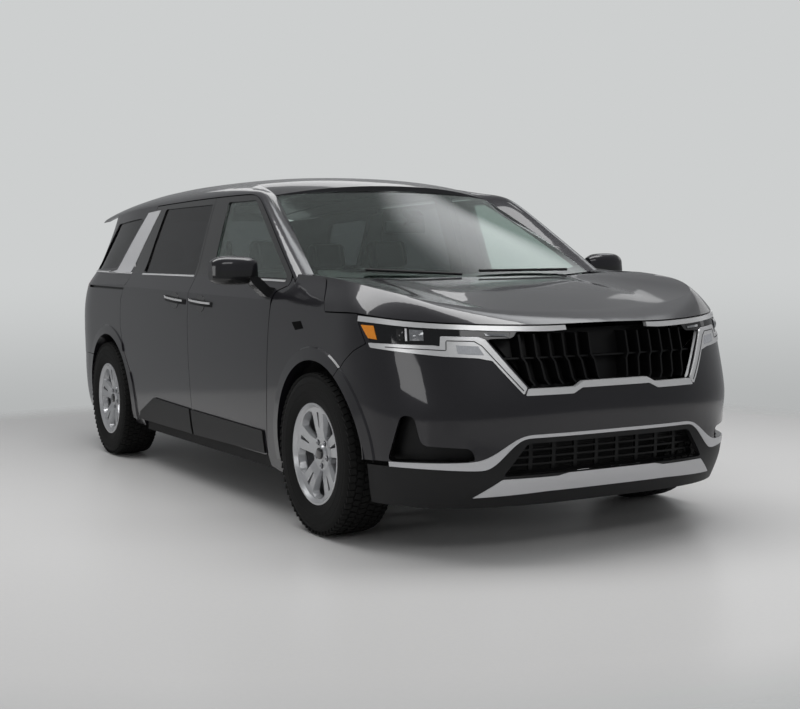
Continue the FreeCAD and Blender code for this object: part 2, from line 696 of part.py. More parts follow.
def front_panels():
    wing = front_wing()
    fender = wing.common(side_prism(fender_outline, 6.0))
    fender = fender.cut([side_prism(shrunk(front_door_outline, -SHUT_GAP), 22.0),
                         above_frame_top(1150.0, PILLAR_FOOT_X + 16, SHUT_GAP)])
    half = wing.cut(side_prism(shrunk(fender_outline, -PANEL_GAP), 6.0))
    half = half.cut(box(1000, 1750, 300, 1200, 0, 1200))
    half = half.cut(nose_block(strip_low, True, -FIT))
    for tool in (corner_prism(lamp_outline, 6.0), corner_prism(garnish_outline, 6.0, -LAMP_GAP),
                 corner_prism(fog_outline, 30.0), nose_block(band_top, False),
                 front_prism(grille_outline, 20.0, 2200, 2700), front_prism(surround_low, 6.0, 2200, 2700)):
        half = half.cut(tool)
    half = max(half.Solids, key=lambda solid: solid.Volume)
    bumper = half.fuse(mirrored(half))
    (ax, ay), (bx, by) = (cowl_line[0](1), cowl_line[1](1)), (crease_line[0](1), crease_line[1](1))
    along = V(bx - ax, by - ay, 0)
    along.normalize()
    ax, ay, bx, by = (ax - SHUT_GAP * along.y, ay + SHUT_GAP * along.x, bx - SHUT_GAP * along.y, by + SHUT_GAP * along.x)
    hood_side = plan_prism([(ax, 700), (ax, ay), (bx, by), (bx + 60, by - 30), (bx + 60, 700)], 1.0, 1080, 1300)
    return fender.fuse(cowl_corner()).cut(hood_side), bumper


def bright_trim():
    """Strips over the lamps, lamp garnishes and the bar under the grille."""
    wall = nose_wall(4.0, 18.0)
    strip = wall.common(nose_block(strip_top, False, -FIT)).cut(nose_block(strip_low, False))
    strip = strip.cut([box(1500, 2700, -216, 216, 800, 1100), both(box(1500, 2036, 500, 1100, 800, 1100))])
    shapes = wall.common(corner_prism(garnish_outline, 6.0, FIT))
    low_bar = wall.common(front_prism(shrunk(surround_low, FIT), 6.0, 2200, 2700))
    garnish = low_bar.fuse([shapes, mirrored(shapes)])
    strip = strip.cut([both(corner_prism(garnish_outline, 6.0, -FIT))])
    return Part.makeCompound(strip.Solids + garnish.Solids)


def headlamps():
    lamp = nose_wall(-2.0, 60.0).common(corner_prism(lamp_outline, 6.0, FIT))
    lamp = lamp.cut(nose_block(strip_low, True, -FIT)).cut(corner_prism(garnish_outline, 6.0, -FIT))
    return both(lamp.cut(side_prism(shrunk(fender_outline, -FIT), 6.0)))


def band_and_skid():
    wall = nose_wall(3.0, 20.0)
    band = wall.common(nose_block(band_top, False, -FIT)).cut(nose_block(band_low, False))
    band = band.cut(both(box(1500, 2196, 500, 1100, 100, 600)))
    skid = wall.common(front_prism(skid_outline, 6.0, 2200, 2700))
    return Part.makeCompound(band.Solids + skid.Solids)


def valance():
    wall = nose_wall(0.0, SKIN)
    piece = wall.common(nose_block(band_low, False, -FIT))
    piece = piece.cut(front_prism(intake_outline, 20.0, 2200, 2700))
    piece = piece.cut(front_prism(shrunk(skid_outline, -FIT), 6.0, 2200, 2700))
    piece = piece.cut(both(cylinder_y(ARCH_RADIUS + LINER + 1, 300, 1200, FRONT_AXLE_X, AXLE_Z)))
    return Part.makeCompound(piece.Solids)


FIN_COUNT = 14
FIN_PITCH = 66.0
FIN_WIDTH = 9.0
GRILLE_BACK = 78.0
fin_line = [(0, 915), (0, 822), (14, 800), (22, 730), (38, 706)]    # bend of an upright fin towards the middle


def grille():
    """Backing plate with thin upright fins, bent inward at their feet, and a bar across them."""
    frame = nose_wall(-GRILLE_BACK, GRILLE_BACK + 10.0).common(front_prism(grille_outline, 20.0, 2200, 2700))
    blades = []
    for i in range(FIN_COUNT):
        y = (i - (FIN_COUNT - 1) / 2) * FIN_PITCH
        bend = -1 if y > 0 else 1
        path = [(y + bend * shift + FIN_WIDTH / 2, z) for shift, z in fin_line]
        path += [(y + bend * shift - FIN_WIDTH / 2, z) for shift, z in reversed(fin_line)]
        blades.append(front_prism(path, 2.5, 2300, 2700))
    bar = box(2300, 2700, -560, 560, 814, 821)
    deep = nose_wall(-12.0, GRILLE_BACK + 5.0, 690.0, 925.0)
    inside = front_prism(shrunk(grille_outline, 4.0), 12.0, 2200, 2700)
    inside = inside.cut(front_prism(shrunk(surround_low, -1.5), 6.0, 2200, 2700))
    fins = deep.common(Part.makeCompound(blades)).common(inside)
    shape = frame.fuse(fins.Solids + [nose_wall(-30.0, GRILLE_BACK - 10.0, 690.0, 925.0).common(bar).common(inside)])
    shape = shape.cut([both(corner_prism(garnish_outline, 6.0, -LAMP_GAP)),
                       both(corner_prism(lamp_outline, 6.0, -1.5 * LAMP_GAP))])
    return max(shape.Solids, key=lambda solid: solid.Volume)


def lower_grille():
    """Mesh behind the lower intake, and the panels at the back of the outer pockets."""
    mesh = nose_wall(-50.0, 62.0).common(front_prism(shrunk(intake_outline, 2.0), 30.0, 2200, 2700))
    holes = [box(2300, 2700, y - 46, y + 46, z, z + 22) for z in (350, 380, 410, 440)
             for y in range(-440, 450, 110)]
    mesh = mesh.cut(holes)
    panel = nose_wall(-60.0, 68.0).common(corner_prism(fog_outline, 30.0, 2.0))
    panel = panel.cut(nose_block(band_top, False))
    return Part.makeCompound(mesh.Solids + [panel, mirrored(panel)])


# Hood

hood_side_z = guide((HOOD_SHUT_X, FENDER_TOP + SHUT_GAP), (1900, FENDER_TOP + SHUT_GAP), (2036, FENDER_TOP + 8))
COWL_X = 1474.0
CREASE = 0.7                 # share of the way from the cowl to the edge where the hood's crease lies

# Plan and height of the hood's rear edge and of its crease, against the share from the middle to the side
cowl_line = (guide((0, COWL_X), (0.34, 1456), (0.7, 1446), (0.9, 1462), (1, 1482)),
             guide((0, 0), (0.34, 500), (0.7, 720), (0.9, 785), (1, 812)),
             guide((0, 1146), (0.34, 1146), (0.7, 1152), (1, 1160)))
crease_line = (guide((0, 2342), (0.2, 2330), (0.34, 2306), (0.48, 2262), (0.6, 2190), (0.7, 2105), (0.8, 1990),
                     (0.9, 1825), (1, HOOD_CORNER[0] + SHUT_GAP + 2)),
               guide((0, 0), (0.2, 250), (0.34, 445), (0.48, 610), (0.6, 745), (0.7, 808), (0.8, 855),
                     (0.9, 885), (1, 898)),
               guide((0, 1004), (0.2, 1009), (0.34, 1018), (0.48, 1038), (0.6, 1066), (0.7, 1090), (0.8, 1115),
                     (0.9, 1141), (1, HOOD_CORNER[1])))
hood_spread = guide((0, 0.0), (0.34, 0.30), (0.7, 0.62), (0.8, 0.76), (1, 1.0))
hood_crown = guide((0, 18.0), (0.34, 15.0), (0.7, 8.0), (1, 0.0))
RIDGE = 0.34
RIDGE_STEP = 11.0


def hood_ring():
    """The hood's lower edge on the left, from its shut line with the fender round to the middle of the nose."""
    points = [V(lerp(HOOD_SHUT_X + SHUT_GAP, 2036, i / 30), 0, 0) for i in range(31)]
    points = [V(p.x, half_width(p.x, hood_side_z(p.x)), hood_side_z(p.x)) for p in points]
    for i in range(1, 61):
        y = lerp(points[30].y, 0.0, i / 60)
        z = strip_top(y) + SHUT_GAP
        points.append(V(nose_at(y, z), y, z))
    return points


def hood_surface(depth):
    ring = hood_ring()

    def point(u, v):
        s = 2 * u - 1
        t = abs(s)
        start = V(*(line(t) for line in cowl_line))
        crease = V(*(line(t) for line in crease_line))
        edge = resample(ring, [1 - hood_spread(t)])[0]
        if v < CREASE:
            q = v / CREASE
            p = start + (crease - start) * q
            p.z += 4 * hood_crown(t) * q * (1 - q)
            groove = ease((t - RIDGE + 0.02) / 0.05) * (1 - ease((t - RIDGE - 0.1) / 0.3))
            p.z -= RIDGE_STEP * groove * (1 - q ** 4) * min(1.0, 8 * q)
        else:
            q = (v - CREASE) / (1 - CREASE)
            p = crease + (edge - crease) * q
            p.z += (crease.z - edge.z) * 0.55 * q * (1 - q) * (1 - 0.75 * t ** 3)
            p.y = lerp(p.y, half_width(p.x, p.z), t ** 8)
        return V(p.x, p.y if s >= 0 else -p.y, p.z)

    def inner(u, v):
        p = point(u, v)
        du = point(min(1.0, u + 0.01), v) - point(max(0.0, u - 0.01), v)
        dv = point(u, min(1.0, v + 0.01)) - point(u, max(0.0, v - 0.01))
        down = du.cross(dv)
        if down.z > 0:
            down = down * -1
        down.normalize()
        edge = (1 - v ** 10) * (1 - abs(2 * u - 1) ** 16)
        return V(p.x + down.x * depth * (1 - abs(2 * u - 1) ** 16), p.y + down.y * depth, p.z + down.z * depth * edge
                 - 6.0 * (abs(2 * u - 1) ** 16) * (1 - v ** 10))

    return point, inner


def hood():
    outer, inner = hood_surface(SKIN)
    shape = slab(outer, inner, 45, 7, (0.0, CREASE, 1.0))
    shape = shape.cut(box(1480, 2026, -1100, 1100, 900, FENDER_TOP + SHUT_GAP - 1))
    return shape.cut(nose_block(strip_top, False, SHUT_GAP - 1))


# Roof, rails, windshield

ROOF_REAR_X = -2236.0


def cant_rail():
    def outer(u, v):
        return rail_outer(lerp(-2160.0, PILLAR_FOOT_X, u), v)

    def inner(u, v):
        return rail_inner(lerp(-2160.0, PILLAR_FOOT_X, u), v)

    return slab(outer, inner, 44, 8)


def roof_panel():
    edge = 0.5

    def outer(u, v):
        p = roof_outer(lerp(ROOF_REAR_X + SHUT_GAP, GLASS_HIGH.x - 10.0, u), lerp(-1, 1, v))
        return V(p.x, p.y * (1 - edge / 640.0), p.z)

    return slab(outer, lambda u, v: outer(u, v) - V(0, 0, 30.0), 26, 14)


def windshield():
    def inner(u, v):
        p = windshield_at(u, lerp(-1, 1, v))
        return V(p.x - GLASS * 0.55, p.y, p.z - GLASS * 0.83)
    return slab(lambda u, v: windshield_at(u, lerp(-1, 1, v)), inner, 10, 14)


# Body structure

SILL_OUTER = 826.0
FLOOR_Z = 292.0
POST_THICKNESS = 44.0
REAR_FLOOR_X = -1020.0
REAR_FLOOR_Z = 440.0


def post(x0, x1, z0, z1, gap=SHUT_GAP):
    """A body post that follows the inside of the doors."""
    def face(extra):
        def point(u, v):
            z = lerp(z0, z1, v)
            x = lerp(x0, x1, u)
            return V(x, section(x, z) - wall_depth(x, z) - gap - extra, z)
        return point
    return slab(face(0.0), face(POST_THICKNESS), 4, 16)


def side_frame():
    rail = cant_rail()
    b_post = post(-55.0, 85.0, FLOOR_Z + 12 + FIT, 1632.0)
    low = FLOOR_Z + 12 + FIT
    a_post = box(1116, 1290, 769 + FIT, 800, low, 1080).fuse(box(1262, 1320, 769 + FIT, 850, low, 1150))
    hinge_rib = box(1180, 1290, 790, 850, low, 1040)
    house = cylinder_y(ARCH_RADIUS + LINER + FIT, 500, 1000, FRONT_AXLE_X, AXLE_Z)
    return rail.fuse([b_post, a_post.fuse(hinge_rib).cut(house)])


def liner(axle_x, y_in, y_out, low):
    """A wheel housing: half drum over the wheel, closed on its inner side."""
    drum = cylinder_y(ARCH_RADIUS + LINER, y_in, y_out, axle_x, AXLE_Z)
    hollow = cylinder_y(ARCH_RADIUS, y_in + LINER, y_out + 1, axle_x, AXLE_Z)
    return drum.cut(hollow).cut(box(axle_x - 600, axle_x + 600, y_in - 1, y_out + 1, -200, low))


FRONT_HOUSE_Y = 545.0
REAR_HOUSE_Y = 738.0


def underbody():
    floor = box(REAR_FLOOR_X, 1130, -SILL_OUTER, SILL_OUTER, FLOOR_Z, FLOOR_Z + 12)
    riser = box(REAR_FLOOR_X - 12, REAR_FLOOR_X, -SILL_OUTER, SILL_OUTER, FLOOR_Z, REAR_FLOOR_Z + 12)
    boot = box(-2120, REAR_FLOOR_X, -SILL_OUTER, SILL_OUTER, REAR_FLOOR_Z, REAR_FLOOR_Z + 12)
    boot = boot.fuse(box(-2330, -2120, -690, 690, REAR_FLOOR_Z, REAR_FLOOR_Z + 12))
    toe = side_prism([(1100, FLOOR_Z), (1262, 560), (1262, 1090), (1400, 1090), (1400, 1078), (1274, 1078),
                      (1274, 555), (1115, FLOOR_Z - 8)], 2.0, -FRONT_HOUSE_Y + 5, FRONT_HOUSE_Y - 5)
    cowl = side_prism([(1262, 1060), (1262, 1090), (1430, 1100), (1430, 1070)], 2.0, -768, 768)
    kick = both(box(1100, 1262, 500, 769, 260, 1060).cut(box(1099, 1250, 499, 745, 305, 1061)))
    sills = both(box(-1020, 1262, 690, SILL_OUTER, 216, FLOOR_Z + 12))
    rocker = both(box(-860 + FIT, FRONT_DOOR_REAR_X, SILL_OUTER, 908, 222, SILL_Z - FIT))
    front_rocker = both(box(FRONT_DOOR_REAR_X, FENDER_REAR_X - SHUT_GAP, SILL_OUTER, 908, 222, SILL_Z - SHUT_GAP))
    rails = both(box(1262, 2400, 430, 520, 430, 540))
    rear_rails = both(box(-2420, REAR_FLOOR_X, 470, 560, REAR_FLOOR_Z - 60, REAR_FLOOR_Z))
    cross = box(-2420, -2380, -600, 600, REAR_FLOOR_Z - 60, REAR_FLOOR_Z + 60)
    beam = box(2400, 2450, -520, 520, 430, 540)
    support = box(2270, 2310, -430, 430, 300, 900)
    body = floor.fuse([riser, boot, toe, cowl, kick, sills, rocker, front_rocker, rails, rear_rails, cross, beam,
                       support])
    holes = [both(cylinder_y(ARCH_RADIUS + 2, REAR_HOUSE_Y - 2, 1000, REAR_AXLE_X, AXLE_Z)),
             both(cylinder_y(ARCH_RADIUS + 2, FRONT_HOUSE_Y - 2, 1000, FRONT_AXLE_X, AXLE_Z))]
    body = body.cut(holes)
    houses = [both(liner(REAR_AXLE_X, REAR_HOUSE_Y, 812.0, 330.0)),
              both(liner(FRONT_AXLE_X, FRONT_HOUSE_Y, LINER_OUTER_Y, 330.0))]
    return body.fuse(houses)


# Running gear

def tyre():
    half = TYRE_WIDTH / 2
    bead = RIM_WIDTH / 2 - 9.0
    profile = [(bead, RIM_RADIUS + FIT), (bead, RIM_RADIUS + 16), (half - 6, RIM_RADIUS + 38), (half, 292),
               (half - 3, 325), (half - 13, 350), (half - 28, 362), (half - 60, TYRE_RADIUS - 1.5),
               (0, TYRE_RADIUS)]
    groove = 8.0
    tread = [(half - 60, TYRE_RADIUS - 1.5), (half - 62, TYRE_RADIUS - groove),
             (half - 70, TYRE_RADIUS - groove), (half - 72, TYRE_RADIUS - 1), (24, TYRE_RADIUS),
             (22, TYRE_RADIUS - groove), (14, TYRE_RADIUS - groove), (12, TYRE_RADIUS)]
    right = [V(0, y, r) for y, r in profile[:-2] + tread]
    left = [V(0, -p.y, p.z) for p in reversed(right)]
    face = Part.Face(Part.makePolygon(right + left + [right[0]]))
    return face.revolve(V(0, 0, 0), V(0, 1, 0), 360)


SPOKE_FACE = 84.0            # outer face of the wheel disc from the wheel's centre plane
HUB_RADIUS = 76.0
SPOKE_BEVEL = 12.0
LUG_CIRCLE = 57.0
LUG_POCKET = 14.0


def rim():
    """An alloy wheel: barrel, dished face with five pairs of wedge spokes with bevelled flanks, lug
    pockets between the pairs, a blind hub bore and a cap."""
    half = RIM_WIDTH / 2
    profile = [(half, RIM_RADIUS + RIM_LIP), (half, RIM_RADIUS + 4), (SPOKE_FACE + 6, RIM_RADIUS - 8),
               (SPOKE_FACE, 180), (SPOKE_FACE - 6, 120), (SPOKE_FACE - 16, HUB_RADIUS),
               (SPOKE_FACE - 18, 40), (SPOKE_FACE - 10, 34), (SPOKE_FACE - 8, 0),
               (SPOKE_FACE - 20, 0), (SPOKE_FACE - 20, STUB_RADIUS + RUNNING), (30, STUB_RADIUS + RUNNING),
               (30, HUB_RADIUS), (SPOKE_FACE - 44, HUB_RADIUS + 20), (SPOKE_FACE - 30, 150),
               (SPOKE_FACE - 30, 190), (SPOKE_FACE - 40, RIM_RADIUS - 12), (-half + 8, RIM_RADIUS - 12),
               (-half, RIM_RADIUS), (-half, RIM_RADIUS + RIM_LIP), (-half + 8, RIM_RADIUS + RIM_LIP),
               (-half + 8, RIM_RADIUS), (half - 8, RIM_RADIUS), (half - 8, RIM_RADIUS + RIM_LIP)]
    face = Part.Face(Part.makePolygon([V(0, y, r) for y, r in profile] + [V(0, profile[0][0], profile[0][1])]))
    body = face.revolve(V(0, 0, 0), V(0, 1, 0), 360)
    wide = [(12, 82), (33, 128), (53, 178), (34, 191), (0, 196), (-34, 191), (-53, 178), (-33, 128), (-12, 82)]
    narrow = [(3, 116), (10, 186), (-10, 186), (-3, 116)]
    cuts = []
    for i in range(SPOKE_PAIRS):
        angle = 360.0 / SPOKE_PAIRS
        window = rounded_face([V(x, 0, z) for x, z in wide], 8.0).extrude(V(0, half + 5, 0))
        flare = Part.makeLoft([rounded_face([V(x, y, z) for x, z in shrunk(wide, -grow)], 8.0).OuterWire
                               for y, grow in ((SPOKE_FACE - 26, 0.0), (SPOKE_FACE + 14, SPOKE_BEVEL))], True, True)
        slot = rounded_face([V(x, 0, z) for x, z in narrow], 2.0).extrude(V(0, half + 5, 0))
        pocket = Part.makeCylinder(LUG_POCKET, 60, V(0, SPOKE_FACE - 36, LUG_CIRCLE), V(0, 1, 0))
        for tool, turn in ((window, 0.5), (flare, 0.5), (pocket, 0.5), (slot, 0.0)):
            tool.rotate(V(0, 0, 0), V(0, 1, 0), angle * (i + turn))
            cuts.append(tool)
    keep = Part.makeCylinder(RIM_RADIUS - 12.5, 200, V(0, -100, 0), V(0, 1, 0))
    body = body.cut([c.common(keep) for c in cuts])
    disc = Part.makeCylinder(DISC_RADIUS, DISC_THICKNESS, V(0, 30 - FIT - DISC_THICKNESS, 0), V(0, 1, 0))
    disc = disc.cut(Part.makeCylinder(STUB_RADIUS + 8, 100, V(0, -50, 0), V(0, 1, 0)))
    return Part.makeCompound([body, disc])


KINGPIN_Y = WHEEL_Y - 28.0
STUB_IN = -76.0              # inner end of the stub from the wheel's centre plane
ARM_TOP = AXLE_Z - 154.0
STRUT_RADIUS = 46.0


def stub(x):
    """The stub shaft that a wheel turns on, left side."""
    return cylinder_y(STUB_RADIUS, WHEEL_Y + STUB_IN, WHEEL_Y + SPOKE_FACE - 26, x, AXLE_Z)


def knuckle():
    """Front left steering knuckle: hub carrier on the lower ball, with its stub, arm and caliper."""
    x, y, z = FRONT_AXLE_X, WHEEL_Y - 76.0, AXLE_Z
    carrier = cylinder_y(60, y, y + 42, x, z)
    leg = box(x - 22, x + 22, y + 24, y + 70, ARM_TOP + FIT, z - 30)
    leg = leg.cut(cylinder_y(30, y + 44, y + 90, x, z))
    arm = box(x - 150, x - 20, y + 4, y + 28, z - 40, z - 16)
    caliper = cylinder_y(DISC_RADIUS + 18, WHEEL_Y - 40, WHEEL_Y + 32, x, z)
    caliper = caliper.cut([cylinder_y(92, WHEEL_Y - 60, WHEEL_Y + 60, x, z),
                           cylinder_y(DISC_RADIUS + 5, WHEEL_Y - 3, WHEEL_Y + 60, x, z),
                           box(x - 200, x + 200, WHEEL_Y - 60, WHEEL_Y + 60, z - 200, z + 70)])
    bridge = box(x - 20, x + 20, y, WHEEL_Y - 20, z + 40, z + 110)
    return stub(x).fuse([carrier, leg, arm, caliper, bridge])


def front_axle():
    """Subframe, lower arms out to the knuckles' balls, and spring struts up to the towers."""
    x, z = FRONT_AXLE_X, AXLE_Z
    cradle = box(x - 260, x + 200, -340, 340, ARM_TOP - 24, ARM_TOP + 40)
    arms = both(box(x - 32, x + 32, 320, WHEEL_Y - 8, ARM_TOP - 22, ARM_TOP))
    strut_top = z + math.sqrt(ARCH_RADIUS ** 2 - STRUT_RADIUS ** 2) - FIT
    struts = both(Part.makeCylinder(STRUT_RADIUS, strut_top - ARM_TOP + 4, V(x, 628, ARM_TOP - 4)))
    mounts = both(box(x - 240, x - 180, 300, 520, ARM_TOP + 30, 430 - FIT))
    return cradle.fuse([arms, struts, mounts])


def rear_axle():
    """Rear crossmember, arms, hub carriers with their stubs, and spring seats up to the rails."""
    x, z = REAR_AXLE_X, AXLE_Z
    cross = box(x - 60, x + 60, -530, 530, 250, 310)
    arms = both(box(x - 36, x + 36, 500, WHEEL_Y - 48, 262, 296))
    carriers = both(cylinder_y(60, WHEEL_Y - 76, WHEEL_Y - 34, x, z))
    uprights = both(box(x - 30, x + 30, WHEEL_Y - 76, WHEEL_Y - 48, 262, z))
    seats = both(box(x - 50, x + 50, 480, 550, 300, REAR_FLOOR_Z - 60 - FIT))
    return cross.fuse([arms, carriers, uprights, seats, both(stub(x))])


# Outside fittings

MIRROR_BELLY = 1124.0        # underside of the mirror's housing
# Sections of the mirror housing from the door outward: y, x from and to, height, and corner radius
mirror_sections = [(1000, 1046, 1110, 96, 26), (1040, 1026, 1126, 128, 40), (1120, 1016, 1134, 138, 46),
                   (1190, 1020, 1124, 128, 44), (1228, 1040, 1100, 88, 28)]


def mirror(door):
    """Left door mirror: a rounded housing lofted outward, on a bent foot from the door's shoulder."""
    wires = []
    for y, x0, x1, tall, radius in mirror_sections:
        rise = (138 - tall) * 0.45
        low, high = MIRROR_BELLY + rise, MIRROR_BELLY + rise + tall
        corners = [V(x0, y, low), V(x1, y, low), V(x1 - 10, y, high), V(x0, y, high)]
        wires.append(rounded_face(corners, radius).OuterWire)
    shell = Part.makeLoft(wires, True)
    foot = [(900, 1050), (975, 1064), (1046, 1130), (1060, 1160), (1010, 1160), (958, 1112), (900, 1100)]
    arm = rounded_face([V(1078, y, z) for y, z in foot], 8.0).extrude(V(66, 0, 0))
    return shell.fuse(arm).cut(door)


def lower_cladding(outline, x0, x1):
    """Black cladding along the foot of a door, standing a little off its skin."""
    def face(lift):
        def point(u, v):
            p = side(lerp(x0, x1, u), lerp(SILL_Z - 6.0, 470.0, v))
            return V(p.x, p.y + lift, p.z)
        return point
    return slab(face(9.0), face(FIT), 8, 6).common(side_prism(outline, 6.0))


def door_handle(x0, x1, z0, z1):
    """A pull handle bowed off the door skin."""
    middle = (x0 + x1) / 2
    half = (x1 - x0) / 2

    def face(lift):
        def point(u, v):
            p = side(lerp(x0, x1, u), lerp(z0, z1, u) + lerp(-13.0, 13.0, v))
            bow = 1 - abs((p.x - middle) / half) ** 4
            return V(p.x, p.y + FIT + lift * bow, p.z)
        return point

    return slab(face(30.0), face(0.0), 8, 4)


def seat(x, y, width, height, floor=FLOOR_Z, recline=14.0):
    """A seat: cushion, leaning back and headrest, each a rounded solid, resting on a base."""
    z = floor + 12
    base = box(x - 190, x + 190, y - width * 0.38, y + width * 0.38, z + FIT, z + height - 110)
    cushion = box(x - 240, x + 270, y - width / 2, y + width / 2, z + height - 110 + FIT, z + height + 20)
    cushion = cushion.makeFillet(34.0, cushion.Edges)
    back = box(-125, 0, y - width / 2, y + width / 2, 0, 610)
    back = back.makeFillet(34.0, back.Edges)
    back.rotate(V(0, 0, 0), V(0, 1, 0), -recline)
    back.translate(V(x - 250, 0, z + height - 30))
    head = box(-95, 0, y - 130, y + 130, 0, 175)
    head = head.makeFillet(30.0, head.Edges)
    head.rotate(V(0, 0, 0), V(0, 1, 0), -recline)
    lean = math.radians(recline)
    head.translate(V(x - 262 - 612 * math.sin(lean), 0, z + height - 30 + 612 * math.cos(lean) + 4))
    return [base, cushion, back, head]


STEERING_WHEEL = V(880.0, 372.0, 985.0)
STEERING_TILT = 24.0


def dashboard():
    outline = [(1249, 700), (1249, 1092), (1395, 1106), (1395, 1120), (1100, 1106), (985, 1050), (965, 900),
               (1060, 760), (1150, 700)]
    body = side_prism(outline, 14.0, -745 + FIT, 745 - FIT)
    console = box(330, 1040, -120, 120, FLOOR_Z + 12 + FIT, 640)
    console = console.makeFillet(16.0, console.Edges)
    console = console.fuse(box(980, 1160, -120, 120, 400, 800))
    lean = math.radians(STEERING_TILT)
    axis = V(math.cos(lean), 0, -math.sin(lean))
    column = Part.makeCylinder(40, 110, STEERING_WHEEL + axis * 24.0, axis)
    return body.fuse([console, column])


def steering_wheel():
    ring = Part.makeTorus(178, 15)
    hub = Part.makeCylinder(52, 44, V(0, 0, -22))
    spokes = [box(0, 170, -16, 16, -8, 8), box(-170, 0, -16, 16, -8, 8), box(-14, 14, -170, 0, -8, 8)]
    wheel = ring.fuse([hub] + spokes)
    wheel.rotate(V(0, 0, 0), V(0, 0, 1), -90)
    wheel.rotate(V(0, 0, 0), V(0, 1, 0), 90 + STEERING_TILT - 180)
    wheel.translate(STEERING_WHEEL)
    return wheel


def engine():
    block = box(1760, 2210, -400, 380, 330, 880)
    block = block.makeFillet(20.0, block.Edges)
    return block.fuse([box(1900, 1980, 370, 430 - FIT, 450, 520), box(1900, 1980, -430 + FIT, -390, 450, 520)])


def exhaust():
    pipe = Part.makeCylinder(28, 3100, V(-1990, -300, 216), V(1, 0, 0))
    silencer = Part.makeCylinder(86, 420, V(-2080, -420, 270), V(0, 1, 0))
    middle = Part.makeCylinder(60, 420, V(100, -300, 216), V(1, 0, 0))
    hangers = [box(x - 10, x + 10, -310, -290, 230, FLOOR_Z - FIT) for x in (-900, 300, 1000)]
    return pipe.fuse([middle, silencer] + hangers)


def fuel_tank():
    tank = box(-1010, -300, -180, 480, 180, FLOOR_Z - FIT)
    return tank.makeFillet(24.0, tank.Edges)


def wipers():
    shapes = []
    for y0, y1 in ((640, 60), (-60, -560)):
        a = windshield_at(0.02, y0 / GLASS_LOW.y)
        b = windshield_at(0.05, y1 / GLASS_LOW.y)
        blade = Part.makeCylinder(7, (b - a).Length, a + V(10, 0, 16), b - a)
        shapes.append(blade)
    return Part.makeCompound(shapes)


# Everything, node by node

def left_right(name, shape):
    return {name + "_left": shape, name + "_right": mirrored(shape)}


def build():
    nodes = {}
    door, glass = front_doors()
    nodes.update(left_right("front_door", door))
    nodes.update(left_right("front_door_glass", glass))
    nodes.update(left_right("door_mirror", mirror(door)))
    front_clad = lower_cladding([(FRONT_DOOR_REAR_X + 3, SILL_Z - 4), (1032, SILL_Z + 8), (1032, 408),
                                 (FRONT_DOOR_REAR_X + 3, 424)], 10, 1060)
    trim = Part.makeCompound([front_clad, door_handle(61, 406, 1032, 1012)])
    nodes.update(left_right("front_door_trim", trim))
    rear_clad = lower_cladding([(-900, SILL_Z - 4), (FRONT_DOOR_REAR_X - PANEL_GAP - 3, SILL_Z - 4),
                                (FRONT_DOOR_REAR_X - PANEL_GAP - 3, 425), (-583, 440), (-880, 330)], -930, 14)
    nodes["sliding_doors"] = both(sliding_doors())
    nodes["sliding_door_trim"] = both(Part.makeCompound([rear_clad, door_handle(-337, 5, 1044, 1020)]))
    quarter, rear_bumper, lamp = rear_panels()
    nodes["quarter_panels"] = both(quarter)
    nodes["rear_bumper"] = rear_bumper
    nodes["tail_lamps"] = both(lamp)
    side_glass = Part.makeCompound([pane(-900, 90, 1150, 1600, sliding_window, 18.0),
                                    pane(-1980, -1060, 1180, 1560, quarter_window, 18.0)])
    nodes["rear_side_windows"] = both(side_glass)
    nodes["pillar_fins"] = both(pane(-1620, -820, 1170, 1600, shrunk(fin_outline, 1.0), 8.0, -1.0, 20.0))
    gate, gate_glass = liftgate()
    nodes["liftgate"] = gate
    nodes["liftgate_glass"] = gate_glass
    nodes.update(left_right("side_frame", side_frame()))
    fender, bumper = front_panels()
    nodes["fenders"] = both(fender)
    nodes["front_bumper"] = bumper
    nodes["bright_trim"] = bright_trim()
    nodes["headlamps"] = headlamps()
    nodes["silver_band"] = band_and_skid()
    nodes["valance"] = valance()
    nodes["grille"] = grille()
    nodes["lower_grille"] = lower_grille()
    nodes["hood"] = hood()
    nodes["roof"] = roof_panel()
    nodes["windshield"] = windshield()
    nodes["wipers"] = wipers()
    nodes["underbody"] = underbody()
    nodes["engine"] = engine()
    nodes["exhaust"] = exhaust()
    nodes["fuel_tank"] = fuel_tank()
    nodes["dashboard"] = dashboard()
    nodes["steering_wheel"] = steering_wheel()
    nodes["front_seats"] = Part.makeCompound(seat(360, 380, 520, 330) + seat(360, -380, 520, 330))
    nodes["second_row_seats"] = Part.makeCompound(seat(-520, 400, 500, 330) + seat(-520, -400, 500, 330)
                                                  + seat(-520, 0, 280, 330))
    nodes["third_row_seats"] = Part.makeCompound(seat(-1480, 0, 1240, 230, REAR_FLOOR_Z))
    wheel_tyre = tyre()
    wheel_rim = rim()
    for name, x, y in [("front_left", FRONT_AXLE_X, 1), ("front_right", FRONT_AXLE_X, -1),
                       ("rear_left", REAR_AXLE_X, 1), ("rear_right", REAR_AXLE_X, -1)]:
        for kind, shape in [("tyre", wheel_tyre), ("rim", wheel_rim)]:
            placed = shape.copy()
            placed.translate(V(x, WHEEL_Y, AXLE_Z))
            nodes[kind + "_" + name] = placed if y > 0 else mirrored(placed)
    nodes.update(left_right("knuckle", knuckle()))
    nodes["front_axle"] = front_axle()
    nodes["rear_axle"] = rear_axle()
    return nodes


if __name__ == "__main__":
    os.makedirs("parts", exist_ok=True)
    for node, shape in build().items():
        shape.exportStep("parts/" + node + ".step")
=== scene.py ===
import json
import math
import bmesh
import bpy
from mathutils import Matrix, Vector
from mathutils.bvhtree import BVHTree

